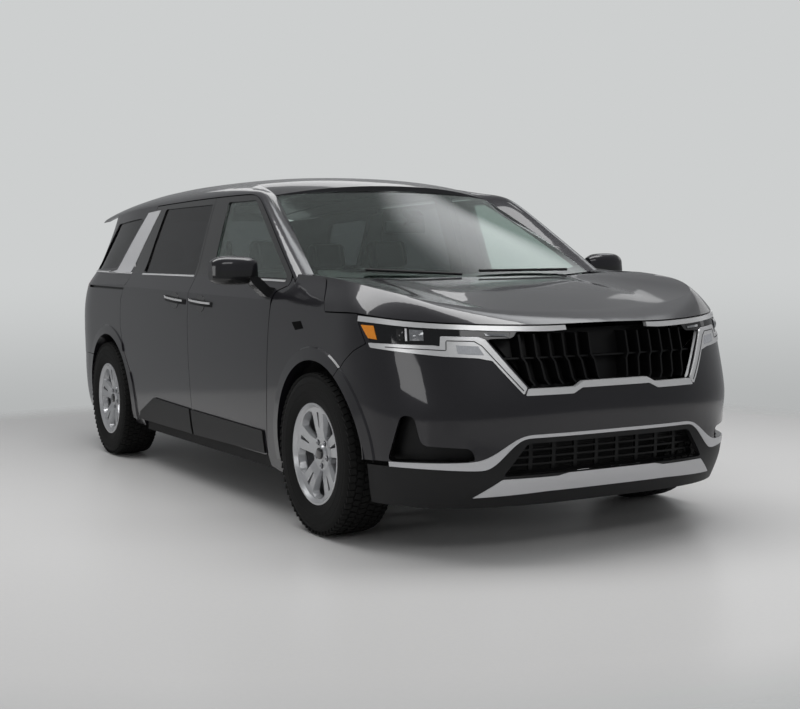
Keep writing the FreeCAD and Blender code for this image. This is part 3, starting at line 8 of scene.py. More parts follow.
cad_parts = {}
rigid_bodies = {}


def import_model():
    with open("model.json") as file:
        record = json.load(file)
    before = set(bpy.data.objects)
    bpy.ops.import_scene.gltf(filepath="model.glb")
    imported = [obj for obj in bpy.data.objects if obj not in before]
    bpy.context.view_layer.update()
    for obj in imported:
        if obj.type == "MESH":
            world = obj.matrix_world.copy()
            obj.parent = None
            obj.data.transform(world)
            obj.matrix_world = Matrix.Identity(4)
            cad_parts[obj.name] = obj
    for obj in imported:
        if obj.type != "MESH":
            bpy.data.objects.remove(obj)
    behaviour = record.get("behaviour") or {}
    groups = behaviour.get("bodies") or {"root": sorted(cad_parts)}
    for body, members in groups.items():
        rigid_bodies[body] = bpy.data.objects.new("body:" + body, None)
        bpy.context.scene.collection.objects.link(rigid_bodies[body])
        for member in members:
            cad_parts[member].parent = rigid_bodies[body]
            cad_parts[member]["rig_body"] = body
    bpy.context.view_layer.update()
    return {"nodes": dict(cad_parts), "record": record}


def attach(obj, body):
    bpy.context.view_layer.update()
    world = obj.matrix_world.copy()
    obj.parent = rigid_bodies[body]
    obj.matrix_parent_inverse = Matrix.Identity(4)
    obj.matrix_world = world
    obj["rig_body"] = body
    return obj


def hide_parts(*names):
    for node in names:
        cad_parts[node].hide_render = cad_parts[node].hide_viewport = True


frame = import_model()
nodes = frame["nodes"]

# Places on the vehicle, metres, in the vehicle's frame: +X forward, +Y left
FRONT_AXLE_X = 1.6425
REAR_AXLE_X = -1.4475
AXLE_Z = 0.368
WHEEL_Y = 0.871
SIDES = (("right", -1), ("left", 1))


def linear(code):
    """An sRGB hex colour as linear red, green, blue and alpha, by the sRGB transfer curve."""
    parts = [int(code[i:i + 2], 16) / 255 for i in (1, 3, 5)]
    return tuple(c / 12.92 if c <= 0.04045 else ((c + 0.055) / 1.055) ** 2.4 for c in parts) + (1.0,)


def add_node(tree, kind, inputs, **settings):
    """A node with its settings; inputs maps a socket to a value or to another node's output."""
    made = tree.nodes.new(kind)
    for key, value in settings.items():
        setattr(made, key, value)
    for key, value in inputs.items():
        if isinstance(value, bpy.types.NodeSocket):
            tree.links.new(value, made.inputs[key])
        else:
            made.inputs[key].default_value = value
    return made


def surface(name, colour, rough, metal=0.0, **more):
    """A named material and its shader, with every plain value on the shader's own sockets."""
    made = bpy.data.materials.new(name)
    made.use_nodes = True
    shader = made.node_tree.nodes["Principled BSDF"]
    shader.inputs["Base Color"].default_value = linear(colour)
    shader.inputs["Roughness"].default_value = rough
    shader.inputs["Metallic"].default_value = metal
    for key, value in more.items():
        shader.inputs[key.replace("_", " ")].default_value = value
    return made


def grain(made, size, depth, tones=None, detail=2.0, stretch=(1.0, 1.0, 1.0)):
    """Grain of about the given size in metres: bumps of that depth, and a drift between two tones."""
    tree = made.node_tree
    shader = tree.nodes["Principled BSDF"]
    place = add_node(tree, "ShaderNodeTexCoord", {})
    spread = add_node(tree, "ShaderNodeMapping", {"Vector": place.outputs["Object"], "Scale": stretch})
    noise = add_node(tree, "ShaderNodeTexNoise",
                     {"Vector": spread.outputs[0], "Scale": 1.0 / size, "Detail": detail})
    bump = add_node(tree, "ShaderNodeBump", {"Height": noise.outputs["Fac"], "Distance": depth, "Strength": 0.6})
    tree.links.new(bump.outputs["Normal"], shader.inputs["Normal"])
    if tones:
        drift = add_node(tree, "ShaderNodeMix", {0: noise.outputs["Fac"], 6: linear(tones[0]), 7: linear(tones[1])},
                         data_type="RGBA")
        tree.links.new(drift.outputs[2], shader.inputs["Base Color"])
    return made


def two_tone(made, under, over, slope, level):
    """Splits a material at the height level + slope * x: each side has its colour, roughness and metal."""
    tree = made.node_tree
    shader = tree.nodes["Principled BSDF"]
    place = add_node(tree, "ShaderNodeTexCoord", {})
    height = add_node(tree, "ShaderNodeVectorMath", {0: place.outputs["Object"], 1: (-slope, 0.0, 1.0)},
                      operation="DOT_PRODUCT")
    mask = add_node(tree, "ShaderNodeMath", {0: height.outputs["Value"], 1: level}, operation="GREATER_THAN")
    colour = add_node(tree, "ShaderNodeMix", {0: mask.outputs[0], 6: linear(under[0]), 7: linear(over[0])},
                      data_type="RGBA")
    tree.links.new(colour.outputs[2], shader.inputs["Base Color"])
    for index, socket in ((1, "Roughness"), (2, "Metallic")):
        value = add_node(tree, "ShaderNodeMix", {0: mask.outputs[0], 2: under[index], 3: over[index]})
        tree.links.new(value.outputs[0], shader.inputs[socket])
    return made


# Metallic clear-over-base paint: near-black graphite, violet in the light, flake of 0.1 mm drawn at 2 mm
PAINT = ("#1b1a1f", 0.36, 0.3)
GLOSS = ("#0b0b0c", 0.14, 0.0)
CLEAR_COAT = {"Coat_Weight": 0.9, "Coat_Roughness": 0.05, "Specular_IOR_Level": 0.2}
body_paint = grain(surface("graphite_metallic_paint", *PAINT, **CLEAR_COAT),
                   0.002, 0.00001, ("#18171b", "#1e1d22"))
# The same paint with gloss black film over the window frames, and black below on the mirror housings
FILM_SLOPE, FILM_FOOT = -0.0174, 1.1655
MIRROR_SPLIT = 1.192
framed_paint = two_tone(surface("graphite_paint_and_black_film", *PAINT, **CLEAR_COAT),
                        PAINT, GLOSS, FILM_SLOPE, FILM_FOOT)
mirror_paint = two_tone(surface("graphite_paint_over_black_abs", *PAINT, **CLEAR_COAT),
                        ("#101011", 0.4, 0.0), PAINT, 0.0, MIRROR_SPLIT)
# Moulded polypropylene cladding: dull, fine leather grain of about 1 mm, drawn at 3 mm so that it shows
cladding = grain(surface("grained_polypropylene", "#161617", 0.5, Specular_IOR_Level=0.3), 0.003, 0.0004,
                 ("#131314", "#1a1a1b"))
# Piano-black ABS: deep and mirror smooth, with the faint flow ripple of a large moulding; the same black is also the
# painted shade laid in the door handles' cups
piano_black_and_painted_shade = grain(surface("gloss_black_abs_and_painted_shade", "#08080a", 0.1, Coat_Weight=0.6, Coat_Roughness=0.03),
                    0.05, 0.00005, ("#070708", "#0b0b0d"))
# Satin black ABS of the grille blades: a fine spark-eroded texture of the mould
satin_black = grain(surface("satin_black_abs", "#0a0a0b", 0.42, Specular_IOR_Level=0.25), 0.002, 0.00003,
                    ("#080809", "#0e0e0f"))
# Matt black moulding behind the grille, out of the light; the same black is also laid on each fender as a painted
# reflection
matt_black_and_painted_reflection = grain(surface("matt_black_abs_and_painted_reflection", "#050505", 0.9, Specular_IOR_Level=0.1), 0.003, 0.0002)
# Silver-painted ABS: fine metal flake under a satin lacquer
silver_paint = grain(surface("silver_painted_abs", "#c6c6c8", 0.4, 0.2), 0.002, 0.00002, ("#bfbfc1", "#cdcdcf"))
# Satin chrome plating on moulded ABS: bright, blurred by the fine lines of its base
satin_chrome = grain(surface("satin_chrome_plate", "#dedede", 0.3, 0.5), 0.002, 0.00001, ("#d8d8d9", "#e4e4e4"),
                     stretch=(0.1, 0.1, 1.0))
# Laminated glass with a light green tint and the slight wave of float glass
light_glass = grain(surface("green_tinted_glass", "#c3d2cc", 0.0, Transmission_Weight=1.0, IOR=1.45),
                    0.3, 0.00002, ("#c1d0ca", "#c5d4ce"))
# Privacy glass: body-tinted, nearly black from outside
dark_glass = grain(surface("privacy_tinted_glass", "#414245", 0.0, Transmission_Weight=1.0, IOR=1.5),
                   0.3, 0.00002, ("#3f4043", "#434447"))
# Smoked polycarbonate over the lamps' black housing
lamp_glass = grain(surface("smoked_polycarbonate", "#0d0e10", 0.05),
                   0.03, 0.00003, ("#0b0c0e", "#111215"))
# Moulded acrylic lenses with optics of about 6 mm: red at the rear, amber at the corners, clear over the lamps
lamp_red = grain(surface("red_acrylic", "#8c0d10", 0.08, Coat_Weight=0.5), 0.006, 0.0004, ("#7c0a0d", "#a01216"))
lamp_amber = grain(surface("amber_acrylic", "#e8890f", 0.2, Coat_Weight=0.6), 0.006, 0.0004, ("#dd7d0a", "#f39a22"))
lens_glass = grain(surface("moulded_lens_acrylic", "#85878a", 0.14, 0.55, Coat_Weight=1.0), 0.008, 0.0006,
                   ("#5c5e61", "#a3a5a8"))
led_lens = grain(surface("frosted_led_acrylic", "#a9abb0", 0.3, Coat_Weight=0.8), 0.004, 0.0006,
                 ("#97999e", "#c3c5c9"), stretch=(1.0, 1.0, 0.05))
# Painted cast aluminium wheels: bright silver flake under a thin clear coat
alloy = grain(surface("silver_painted_alloy", "#b9babc", 0.32, 0.7, Coat_Weight=0.6, Coat_Roughness=0.08),
              0.002, 0.00002, ("#b0b1b3", "#c3c4c6"))
# Zinc plating on turned steel: grey and a little uneven
zinc = grain(surface("zinc_plated_steel", "#8f9093", 0.35, 1.0), 0.003, 0.00005, ("#86878a", "#9b9c9f"))
# Moulded tyre rubber: near black and dull
rubber = grain(surface("tyre_rubber", "#101010", 0.8, Specular_IOR_Level=0.25), 0.004, 0.0003, ("#0d0d0d", "#151514"))
# Cast iron with a thin oxide skin
cast_iron = grain(surface("cast_iron", "#2c2b2a", 0.6, 0.6), 0.006, 0.0006, ("#262524", "#383532"))
# Underseal over pressed steel
underseal = grain(surface("underseal_coating", "#161616", 0.8), 0.01, 0.0008, ("#131313", "#1c1b1b"))
# Aluminised steel tube: drawn, dulled by heat
tube_steel = grain(surface("aluminised_steel_tube", "#6e6c69", 0.4, 1.0), 0.01, 0.0001, ("#63605d", "#7c7975"))
# Woven polyester seat cloth: matt, thread spacing of 1 mm drawn at 3 mm
seat_cloth = grain(surface("woven_polyester", "#242427", 0.85, Sheen_Weight=0.4), 0.003, 0.0006,
                   ("#1c1c1f", "#313135"), 3.0)
# Soft moulded plastic of the dashboard and seat bases: dull, leather grain of about 4 mm
soft_plastic = grain(surface("soft_moulded_plastic", "#202124", 0.6), 0.004, 0.0003, ("#1b1c1e", "#27282b"))
# Silvered glass of the door mirrors
mirror_silver = grain(surface("silvered_mirror_glass", "#d9dcdd", 0.02, 1.0), 0.2, 0.00002, ("#d4d7d8", "#dee1e2"))
# Black ceramic frit fired on the inside of the windshield's edge
frit = grain(surface("ceramic_frit", "#070707", 0.5), 0.003, 0.0001, ("#050505", "#0b0b0b"))

FINISH = {
    "body_paint": body_paint, "black_plastic": cladding, "gloss_black": piano_black_and_painted_shade,
    "silver_trim": silver_paint, "bright_trim": satin_chrome, "clear_glass": light_glass,
    "dark_glass": dark_glass, "lamp_glass": lamp_glass, "lamp_red": lamp_red, "alloy": alloy, "tyre": rubber,
    "cast_steel": cast_iron, "floor_steel": underseal, "seat_cloth": seat_cloth, "steel_tube": tube_steel,
}
SLOT_OF = {entry["node"]: entry["material_slot"] for entry in frame["record"]["subparts"]}


def dress(piece, finish):
    """Gives a CAD node its finished material."""
    piece.data.materials.clear()
    piece.data.materials.append(finish)


for name, piece in nodes.items():
    dress(piece, FINISH[SLOT_OF[name]])
for name in ("dashboard", "steering_wheel"):
    dress(nodes[name], soft_plastic)
for name in ("front_door_left", "front_door_right", "sliding_doors"):
    dress(nodes[name], framed_paint)
for name in ("grille", "lower_grille"):
    dress(nodes[name], satin_black)
for name in ("door_mirror_left", "door_mirror_right"):
    dress(nodes[name], mirror_paint)

# Helpers for new pieces


def finished(name, shape, finish, body, replaced=(), angle=35.0):
    """Turns a bmesh into a piece that rides a body, with edges over the angle in degrees left sharp."""
    bmesh.ops.recalc_face_normals(shape, faces=shape.faces)
    mesh = bpy.data.meshes.new(name)
    shape.to_mesh(mesh)
    shape.free()
    mesh.shade_smooth()
    mesh.set_sharp_from_angle(angle=math.radians(angle))
    piece = bpy.data.objects.new(name, mesh)
    bpy.context.scene.collection.objects.link(piece)
    piece.data.materials.append(finish)
    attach(piece, body)
    if replaced:
        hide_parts(*replaced)
    return piece


def lathe(shape, profile, steps):
    """Spins a closed profile of (out, radius) about the Y axis."""
    points = [shape.verts.new((0.0, out, radius)) for out, radius in profile]
    edges = [shape.edges.new(pair) for pair in zip(points, points[1:] + points[:1])]
    bmesh.ops.spin(shape, geom=points + edges, cent=(0, 0, 0), axis=(0, 1, 0), angle=2 * math.pi, steps=steps,
                   use_merge=True, use_duplicate=False)


def block(shape, size, place, bevel=0.0, segments=2):
    """A box of the given size at a place, which may be a matrix, with bevelled edges."""
    matrix = place if isinstance(place, Matrix) else Matrix.Translation(Vector(place))
    made = bmesh.ops.create_cube(shape, size=1.0, matrix=matrix @ Matrix.Diagonal(Vector(size)).to_4x4())
    if bevel:
        edges = list({edge for vert in made["verts"] for edge in vert.link_edges})
        bmesh.ops.bevel(shape, geom=edges, offset=bevel, offset_type="OFFSET", affect="EDGES", segments=segments,
                        profile=0.5, material=-1)


def rod(shape, start, end, radius, tip=None, sides=16):
    """A closed round bar between two points, tapering to the tip radius."""
    start, end = Vector(start), Vector(end)
    along = end - start
    turn = along.to_track_quat("Z", "Y").to_matrix().to_4x4()
    bmesh.ops.create_cone(shape, cap_ends=True, segments=sides, radius1=radius,
                          radius2=radius if tip is None else tip, depth=along.length,
                          matrix=Matrix.Translation((start + end) / 2) @ turn)


RAY_START = 0.4  # how far before the point aimed at a ray starts
skins = {}


def skin(host):
    """The host node's surface for ray casts."""
    if host not in skins:
        mesh = nodes[host].data
        skins[host] = BVHTree.FromPolygons([v.co.copy() for v in mesh.vertices],
                                           [list(face.vertices) for face in mesh.polygons])
    return skins[host]


def landed(host, point, toward, lift):
    """Where a ray through the point meets the host, or the nearest place, raised off its surface."""
    hit, normal = skin(host).ray_cast(point - toward * RAY_START, toward)[:2]
    if hit is None:
        hit, normal = skin(host).find_nearest(point)[:2]
    if normal.dot(toward) > 0:
        normal = -normal
    return hit + normal * lift


def overlay(name, host, place, toward, columns, rows, thick, finish, body, lift=0.0004, crown=0.0):
    """A thin piece laid on a host's skin; place(u, v) gives the point aimed at, u and v from 0 to 1."""
    toward = Vector(toward).normalized()
    shape = bmesh.new()
    bmesh.ops.create_grid(shape, x_segments=columns, y_segments=rows, size=1.0)
    for vert in shape.verts:
        u, v = (vert.co.x + 1) / 2, (vert.co.y + 1) / 2
        swell = crown * 16 * u * (1 - u) * v * (1 - v)
        vert.co = landed(host, Vector(place(u, v)), toward, lift + thick + swell)
    bmesh.ops.recalc_face_normals(shape, faces=shape.faces)
    shape.normal_update()
    outward = sum(face.normal.dot(toward) for face in shape.faces)
    bmesh.ops.solidify(shape, geom=shape.faces[:], thickness=-thick if outward > 0 else thick)
    finished(name, shape, finish, body)


def four(corners):
    """A place function over four corners: low start, low end, high end, high start."""
    a, b, c, d = (Vector(corner) for corner in corners)
    return lambda u, v: (a * (1 - u) + b * u) * (1 - v) + (d * (1 - u) + c * u) * v


def disc(u, v):
    """The unit square mapped to the unit disc, for round pieces on a grid."""
    a, b = 2 * u - 1, 2 * v - 1
    return a * math.sqrt(1 - b * b / 2), b * math.sqrt(1 - a * a / 2)


def ribbon(points, width, toward):
    """A place function for a band of even width along a chain of points."""
    points = [Vector(point) for point in points]
    lengths = [0.0]
    for near, far in zip(points, points[1:]):
        lengths.append(lengths[-1] + (far - near).length)
    toward = Vector(toward).normalized()

    def place(u, v):
        reach = u * lengths[-1]
        index = max(i for i in range(len(points) - 1) if lengths[i] <= reach + 1e-9)
        near, far = points[index], points[index + 1]
        spot = near.lerp(far, (reach - lengths[index]) / (lengths[index + 1] - lengths[index]))
        along = (far - near).normalized()
        return spot + along.cross(toward).normalized() * (v - 0.5) * width
    return place


def sided(points, side):
    """Points given for the right-hand side, moved to the side wanted: -1 is right, 1 is left."""
    return [(x, -y * side, z) for x, y, z in points]


# Tyres: moulded carcass with rim guard and sidewall ribs, and tread blocks round it

TYRE_PROFILE = [(0.083, 0.218), (0.094, 0.219), (0.1, 0.226), (0.103, 0.232), (0.1075, 0.24), (0.111, 0.25),
                (0.1145, 0.262), (0.1165, 0.276), (0.1168, 0.278), (0.1158, 0.2795), (0.117, 0.281),
                (0.1172, 0.296), (0.1168, 0.312), (0.1155, 0.3135), (0.1162, 0.315), (0.114, 0.328),
                (0.1085, 0.343), (0.1, 0.3535), (0.092, 0.3585), (0.05, 0.3605), (0.0, 0.361)]
TREAD_ROWS = [(-0.094, 0.028, 0.3605), (-0.0605, 0.03, 0.3635), (-0.02, 0.032, 0.3645),
              (0.02, 0.032, 0.3645), (0.0605, 0.03, 0.3635), (0.094, 0.028, 0.3605)]
TREAD_PITCHES = 68
TREAD_SKEW = math.radians(14.0)     # turn of the blocks from row to row
SHOULDER_LEAN = math.radians(11.0)  # of the outermost rows
SHOULDER_OUT = 0.09
BLOCK_LONG, BLOCK_DEEP, BLOCK_SUNK = 0.0262, 0.012, 0.003
TYRE_STEPS = 96


def tyre(name, place, side):
    """A turned carcass with six rows of tread blocks, in place of the plain tyre."""
    shape = bmesh.new()
    outer = [(out * side, radius) for out, radius in TYRE_PROFILE]
    inner = [(-out, radius) for out, radius in reversed(outer[:-1])]
    lathe(shape, outer + inner, TYRE_STEPS)
    bmesh.ops.remove_doubles(shape, verts=shape.verts, dist=1e-5)
    for row, (out, width, radius) in enumerate(TREAD_ROWS):
        for pitch in range(TREAD_PITCHES):
            angle = 2 * math.pi * (pitch + 0.5 * (row % 2)) / TREAD_PITCHES
            skew = (TREAD_SKEW if row % 2 else -TREAD_SKEW) * side
            lean = math.copysign(SHOULDER_LEAN, out) if abs(out) > SHOULDER_OUT else 0.0
            spot = (Matrix.Rotation(angle, 4, "Y") @ Matrix.Translation((0, out, radius - BLOCK_SUNK))
                    @ Matrix.Rotation(-lean, 4, "X") @ Matrix.Rotation(skew, 4, "Z"))
            block(shape, (BLOCK_LONG, width, BLOCK_DEEP), spot)
    bmesh.ops.translate(shape, verts=shape.verts, vec=Vector(place))
    finished("tyre_with_tread_" + name, shape, rubber, "wheel_" + name, replaced=("tyre_" + name,))


LUGS = 5
LUG_CIRCLE = 0.057
LUG_FOOT, LUG_SHOULDER, LUG_TIP = 0.045, 0.07, 0.076  # outward from the wheel's middle
CAP_FOOT = 0.084 - 0.0115                             # the spokes' face less the cap's sunk part
CAP_PROFILE = [(0.0, 0.0), (0.0, 0.0265), (0.0085, 0.0265), (0.0105, 0.0245), (0.0115, 0.018), (0.012, 0.0)]


def wheel_details(name, place, side):
    """Lug nuts in their pockets, and a plain dark cap on the hub."""
    shape = bmesh.new()
    for i in range(LUGS):
        spot = Matrix.Rotation(math.radians(360.0 / LUGS * (i + 0.5)), 4, "Y") @ Vector((0, 0, LUG_CIRCLE))
        low, top, end = (spot + Vector((0, side * out, 0)) for out in (LUG_FOOT, LUG_SHOULDER, LUG_TIP))
        rod(shape, low, top, 0.0105, sides=6)
        rod(shape, top, end, 0.0095, tip=0.005, sides=24)
    bmesh.ops.translate(shape, verts=shape.verts, vec=Vector(place))
    finished("lug_nuts_" + name, shape, zinc, "wheel_" + name, angle=28.0)
    shape = bmesh.new()
    lathe(shape, [(side * (CAP_FOOT + out), radius) for out, radius in CAP_PROFILE], 48)
    bmesh.ops.remove_doubles(shape, verts=shape.verts, dist=1e-6)
    bmesh.ops.translate(shape, verts=shape.verts, vec=Vector(place))
    finished("hub_cap_" + name, shape, piano_black_and_painted_shade, "wheel_" + name)


WHEELS = [("front_left", FRONT_AXLE_X, 1), ("front_right", FRONT_AXLE_X, -1),
          ("rear_left", REAR_AXLE_X, 1), ("rear_right", REAR_AXLE_X, -1)]
for name, x, side in WHEELS:
    tyre(name, (x, WHEEL_Y * side, AXLE_Z), side)
    wheel_details(name, (x, WHEEL_Y * side, AXLE_Z), side)

# Lamps, and the dark groove in the bright garnish

GROOVE_WIDTH = 0.0035
BEHIND_X = -2.9  # behind the liftgate, where its lamp's points start
LAMP_REACH, LAMP_FOOT, LAMP_TALL = 0.7, 1.062, 0.034


def front_lamp(word, side):
    """Corner marker, projector lenses, inner lamp and the lens in the bright garnish, on one side."""
    toward = (-0.8, -0.6 * side, 0.0)

    def lens(name, host, corners, finish, crown, thick=0.003, columns=8, rows=6):
        overlay(name + "_" + word, host, four(sided(corners, side)), toward, columns, rows, thick, finish, "root",
                crown=crown)
    lens("corner_marker", "headlamps", [(2.098, -0.936, 0.904), (2.140, -0.916, 0.899), (2.117, -0.919, 0.956),
                                        (2.054, -0.944, 0.959)], lamp_amber, 0.002)
    lens("projector_outer", "headlamps", [(2.222, -0.865, 0.897), (2.243, -0.848, 0.897), (2.238, -0.848, 0.944),
                                          (2.212, -0.866, 0.944)], piano_black_and_painted_shade, 0.006)
    lens("projector_bar", "headlamps", [(2.249, -0.842, 0.895), (2.256, -0.837, 0.895), (2.250, -0.837, 0.945),
                                        (2.243, -0.842, 0.945)], satin_chrome, 0.0, 0.005)
    lens("projector_lens", "headlamps", [(2.262, -0.829, 0.896), (2.307, -0.790, 0.896), (2.300, -0.790, 0.938),
                                         (2.256, -0.829, 0.942)], lens_glass, 0.009)
    lens("inner_lamp", "headlamps", [(2.436, -0.560, 0.893), (2.452, -0.480, 0.892), (2.458, -0.485, 0.918),
                                     (2.425, -0.574, 0.923)], lens_glass, 0.004)
    lens("led_lens", "bright_trim", [(2.403, -0.686, 0.843), (2.451, -0.592, 0.836), (2.433, -0.608, 0.872),
                                     (2.391, -0.688, 0.877)], led_lens, 0.0, 0.002)


def garnish_groove(word, side):
    """The dark groove that runs through the bright garnish, on one side."""
    toward = (-0.8, -0.6 * side, 0.0)
    groove = ribbon(sided([(2.183, -0.903, 0.87), (2.374, -0.725, 0.857), (2.366, -0.72, 0.896),
                           (2.422, -0.62, 0.892), (2.439, -0.593, 0.873), (2.534, -0.454, 0.689)], side),
                    GROOVE_WIDTH, toward)
    overlay("garnish_groove_" + word, "bright_trim", groove, toward, 120, 1, 0.0006, satin_black, "root")


for word, side in SIDES:
    front_lamp(word, side)
for word, side in SIDES:
    garnish_groove(word, side)
overlay("liftgate_lamp", "liftgate",
        lambda u, v: (BEHIND_X, -LAMP_REACH + 2 * LAMP_REACH * u, LAMP_FOOT + LAMP_TALL * v), (1, 0, 0), 60, 3, 0.006,
        lamp_red, "liftgate", crown=0.001)

# Sides: bright strips at the foot of the windows, handle strips, painted shade in the handles' cups, rail slots, mirror
# glass, and a painted reflection on each fender

SIDE_Y = 0.9  # near the vehicle's side, where the points of its strips lie
BELT_WIDTH, HANDLE_STRIP_WIDTH, RAIL_SLOT_WIDTH = 0.009, 0.011, 0.012
CUP_WIDE, CUP_TALL, CUP_DROP = 0.062, 0.046, 0.012
# The door mirrors' glass faces back: where its points start, its middle, half width and half height
MIRROR_BACK_X, MIRROR_Y, MIRROR_Z = 0.98, 1.123, 1.194
MIRROR_WIDE, MIRROR_TALL = 0.074, 0.05


def body_of(node):
    """The body that a node of the frame rides."""
    return nodes[node]["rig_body"]


def cup(middle, side):
    """A place function for the oval of painted shade in the cup behind a handle."""
    def place(u, v):
        a, b = disc(u, v)
        return middle[0] + CUP_WIDE * a, SIDE_Y * side, middle[1] + CUP_TALL * b
    return place


def strips(word, side):
    """The strips at the windows' foot and on the handles, painted shade in the handles' cups, and the rail slot, on one
    side.
    """
    toward = (0, -side, 0)
    door = "front_door_" + word
    spans = [("front_belt_" + word, door, 1.224, 1.139, 0.262, 1.161, door),
             ("sliding_belt_" + word, "sliding_doors", 0.012, 1.164, -0.872, 1.177, "root"),
             ("quarter_belt_" + word, "quarter_panels", -0.885, 1.179, -1.94, 1.199, "root")]
    for name, host, x0, z0, x1, z1, body in spans:
        points = [(x0, -SIDE_Y, z0), (x1, -SIDE_Y, z1)]
        overlay(name, host, ribbon(sided(points, side), BELT_WIDTH, toward), toward, 30, 2, 0.003, satin_chrome,
                body)
    handles = [("front_handle_" + word, "front_door_trim_" + word, 0.078, 0.392, 1.037, 1.019, body_of(door)),
               ("sliding_handle_" + word, "sliding_door_trim", -0.322, -0.02, 1.050, 1.028, "root")]
    for name, host, x0, x1, z0, z1, body in handles:
        chain = ribbon(sided([(x0, -SIDE_Y, z0), (x1, -SIDE_Y, z1)], side), HANDLE_STRIP_WIDTH, toward)
        overlay(name + "_strip", host, chain, toward, 24, 2, 0.002, satin_chrome, body)
        door_skin = "sliding_doors" if host == "sliding_door_trim" else door
        middle = ((x0 + x1) / 2, (z0 + z1) / 2 - CUP_DROP)
        # Painted shade: a black oval laid in the cup behind each handle, where the recess lies in shade
        overlay(name + "_cup", door_skin, cup(middle, side), toward, 14, 14, 0.0015, piano_black_and_painted_shade, body)
    rail = ribbon(sided([(-1.08, -SIDE_Y, 1.084), (-1.88, -SIDE_Y, 1.099)], side), RAIL_SLOT_WIDTH, toward)
    overlay("rail_slot_" + word, "quarter_panels", rail, toward, 40, 2, 0.001, satin_black, "root")


def mirror_and_painted_reflection(word, side):
    """The door mirror's glass, and a dark patch on the fender that is a painted reflection, on one side."""
    def mirror_face(u, v):
        a, b = disc(u, v)
        return MIRROR_BACK_X, side * (MIRROR_Y + MIRROR_WIDE * a), MIRROR_Z + MIRROR_TALL * b

    overlay("mirror_glass_" + word, "door_mirror_" + word, mirror_face, (1, 0, 0), 14, 14, 0.0015, mirror_silver,
            body_of("front_door_" + word))
    # A painted reflection: a dark patch laid on the fender where a reflection darkens it, not a part of the vehicle
    marker = four(sided([(1.457, -0.971, 0.917), (1.537, -0.971, 0.927), (1.507, -0.968, 0.960),
                         (1.416, -0.969, 0.952)], side))
    overlay("fender_painted_reflection_" + word, "fenders", marker, (0, -side, 0), 8, 5, 0.0015, matt_black_and_painted_reflection, "root")


for word, side in SIDES:
    strips(word, side)
for word, side in SIDES:
    mirror_and_painted_reflection(word, side)

# Radiator shutter: a dark plate behind the grille
SHUTTER_X, SHUTTER_Z = 2.335, 0.8
RIB_HEIGHTS = (0.72, 0.76, 0.8, 0.84, 0.88)
shape = bmesh.new()
block(shape, (0.006, 0.9, 0.22), (SHUTTER_X, 0.0, SHUTTER_Z), 0.002)
for z in RIB_HEIGHTS:
    block(shape, (0.008, 0.88, 0.006), (SHUTTER_X + 0.006, 0.0, z), 0.002)
finished("radiator_shutter", shape, matt_black_and_painted_reflection, "root")

# Windshield: black frit along its foot on the inside, camera housing and interior mirror

GLASS_HALF = 0.807                      # half the glass's width at its foot
FRIT_HALF, FRIT_TALL = 0.8, 0.026
FRIT_FOOT, FRIT_RISE = 1.137, 0.028     # height in the middle, and the rise to the sides


def frit_low(u, v):
    """The frit's place, in front of the windshield's foot."""
    y = -FRIT_HALF + 2 * FRIT_HALF * u
    return 3.0, y, FRIT_FOOT + FRIT_RISE * (y / GLASS_HALF) ** 2 + FRIT_TALL * v


overlay("windshield_frit_foot", "windshield", frit_low, (-1, 0, 0), 60, 3, 0.0006, frit, "root",
        lift=-0.0072)

shape = bmesh.new()
slant = Matrix.Translation((0.872, 0.0, 1.468)) @ Matrix.Rotation(math.radians(28), 4, "Y")
block(shape, (0.10, 0.085, 0.045), slant, 0.012, 3)
rod(shape, (0.845, 0, 1.452), (0.79, 0, 1.425), 0.009)
finished("camera_housing", shape, soft_plastic, "root")
shape = bmesh.new()
tilt = Matrix.Translation((0.778, 0.0, 1.412)) @ Matrix.Rotation(math.radians(-6), 4, "Y")
block(shape, (0.026, 0.245, 0.062), tilt, 0.011, 4)
finished("interior_mirror", shape, soft_plastic, "root")

# Seats: foam cushions in sewn cloth covers, one closed form each

PAD_CUTS = 18      # rows of faces along each edge of a pad
CORNER_SHARE = 0.4  # a pad's corner radius as a share of its thickness
SEAM_STEP, SEAM_REACH, SEAM_DEPTH = 0.04, 0.03, 0.009
BOLSTER_FROM, BOLSTER_OVER = 0.52, 0.2  # where the raised sides start, and the width of their slope
WAIST = 0.03  # how far a pad's sides draw in between their seams
SEAT_LEAN = math.radians(14.0)
SEAT_CLEAR = 0.012
CUSHION_LONG, BACK_LONG, HEAD_TALL = 0.51, 0.61, 0.17
PAD_THICK, HEAD_THICK = 0.118, 0.09
# Middles of the back and the headrest from the back's foot, along the back and behind its face
BACK_UP, BACK_BEHIND, HEAD_UP, HEAD_BEHIND = 0.305, 0.0625, 0.704, 0.0575
POST_APART, POST_RADIUS, POST_LOW, POST_HIGH = 0.06, 0.006, 0.14, 0.04
BENCH_WIDTH = 0.8  # a wider seat has the seams of three places
SEAT_ROWS = (0.36, -0.52, -1.48)


def stations(seams):
    """Places from -1 to 1, close together at the ends and at each seam."""
    triples = [seam + step for seam in seams for step in (-SEAM_STEP, 0.0, SEAM_STEP)]
    plain = PAD_CUTS + 1 - len(triples)
    return sorted(triples + [-math.cos(math.pi * i / (plain - 1)) for i in range(plain)])


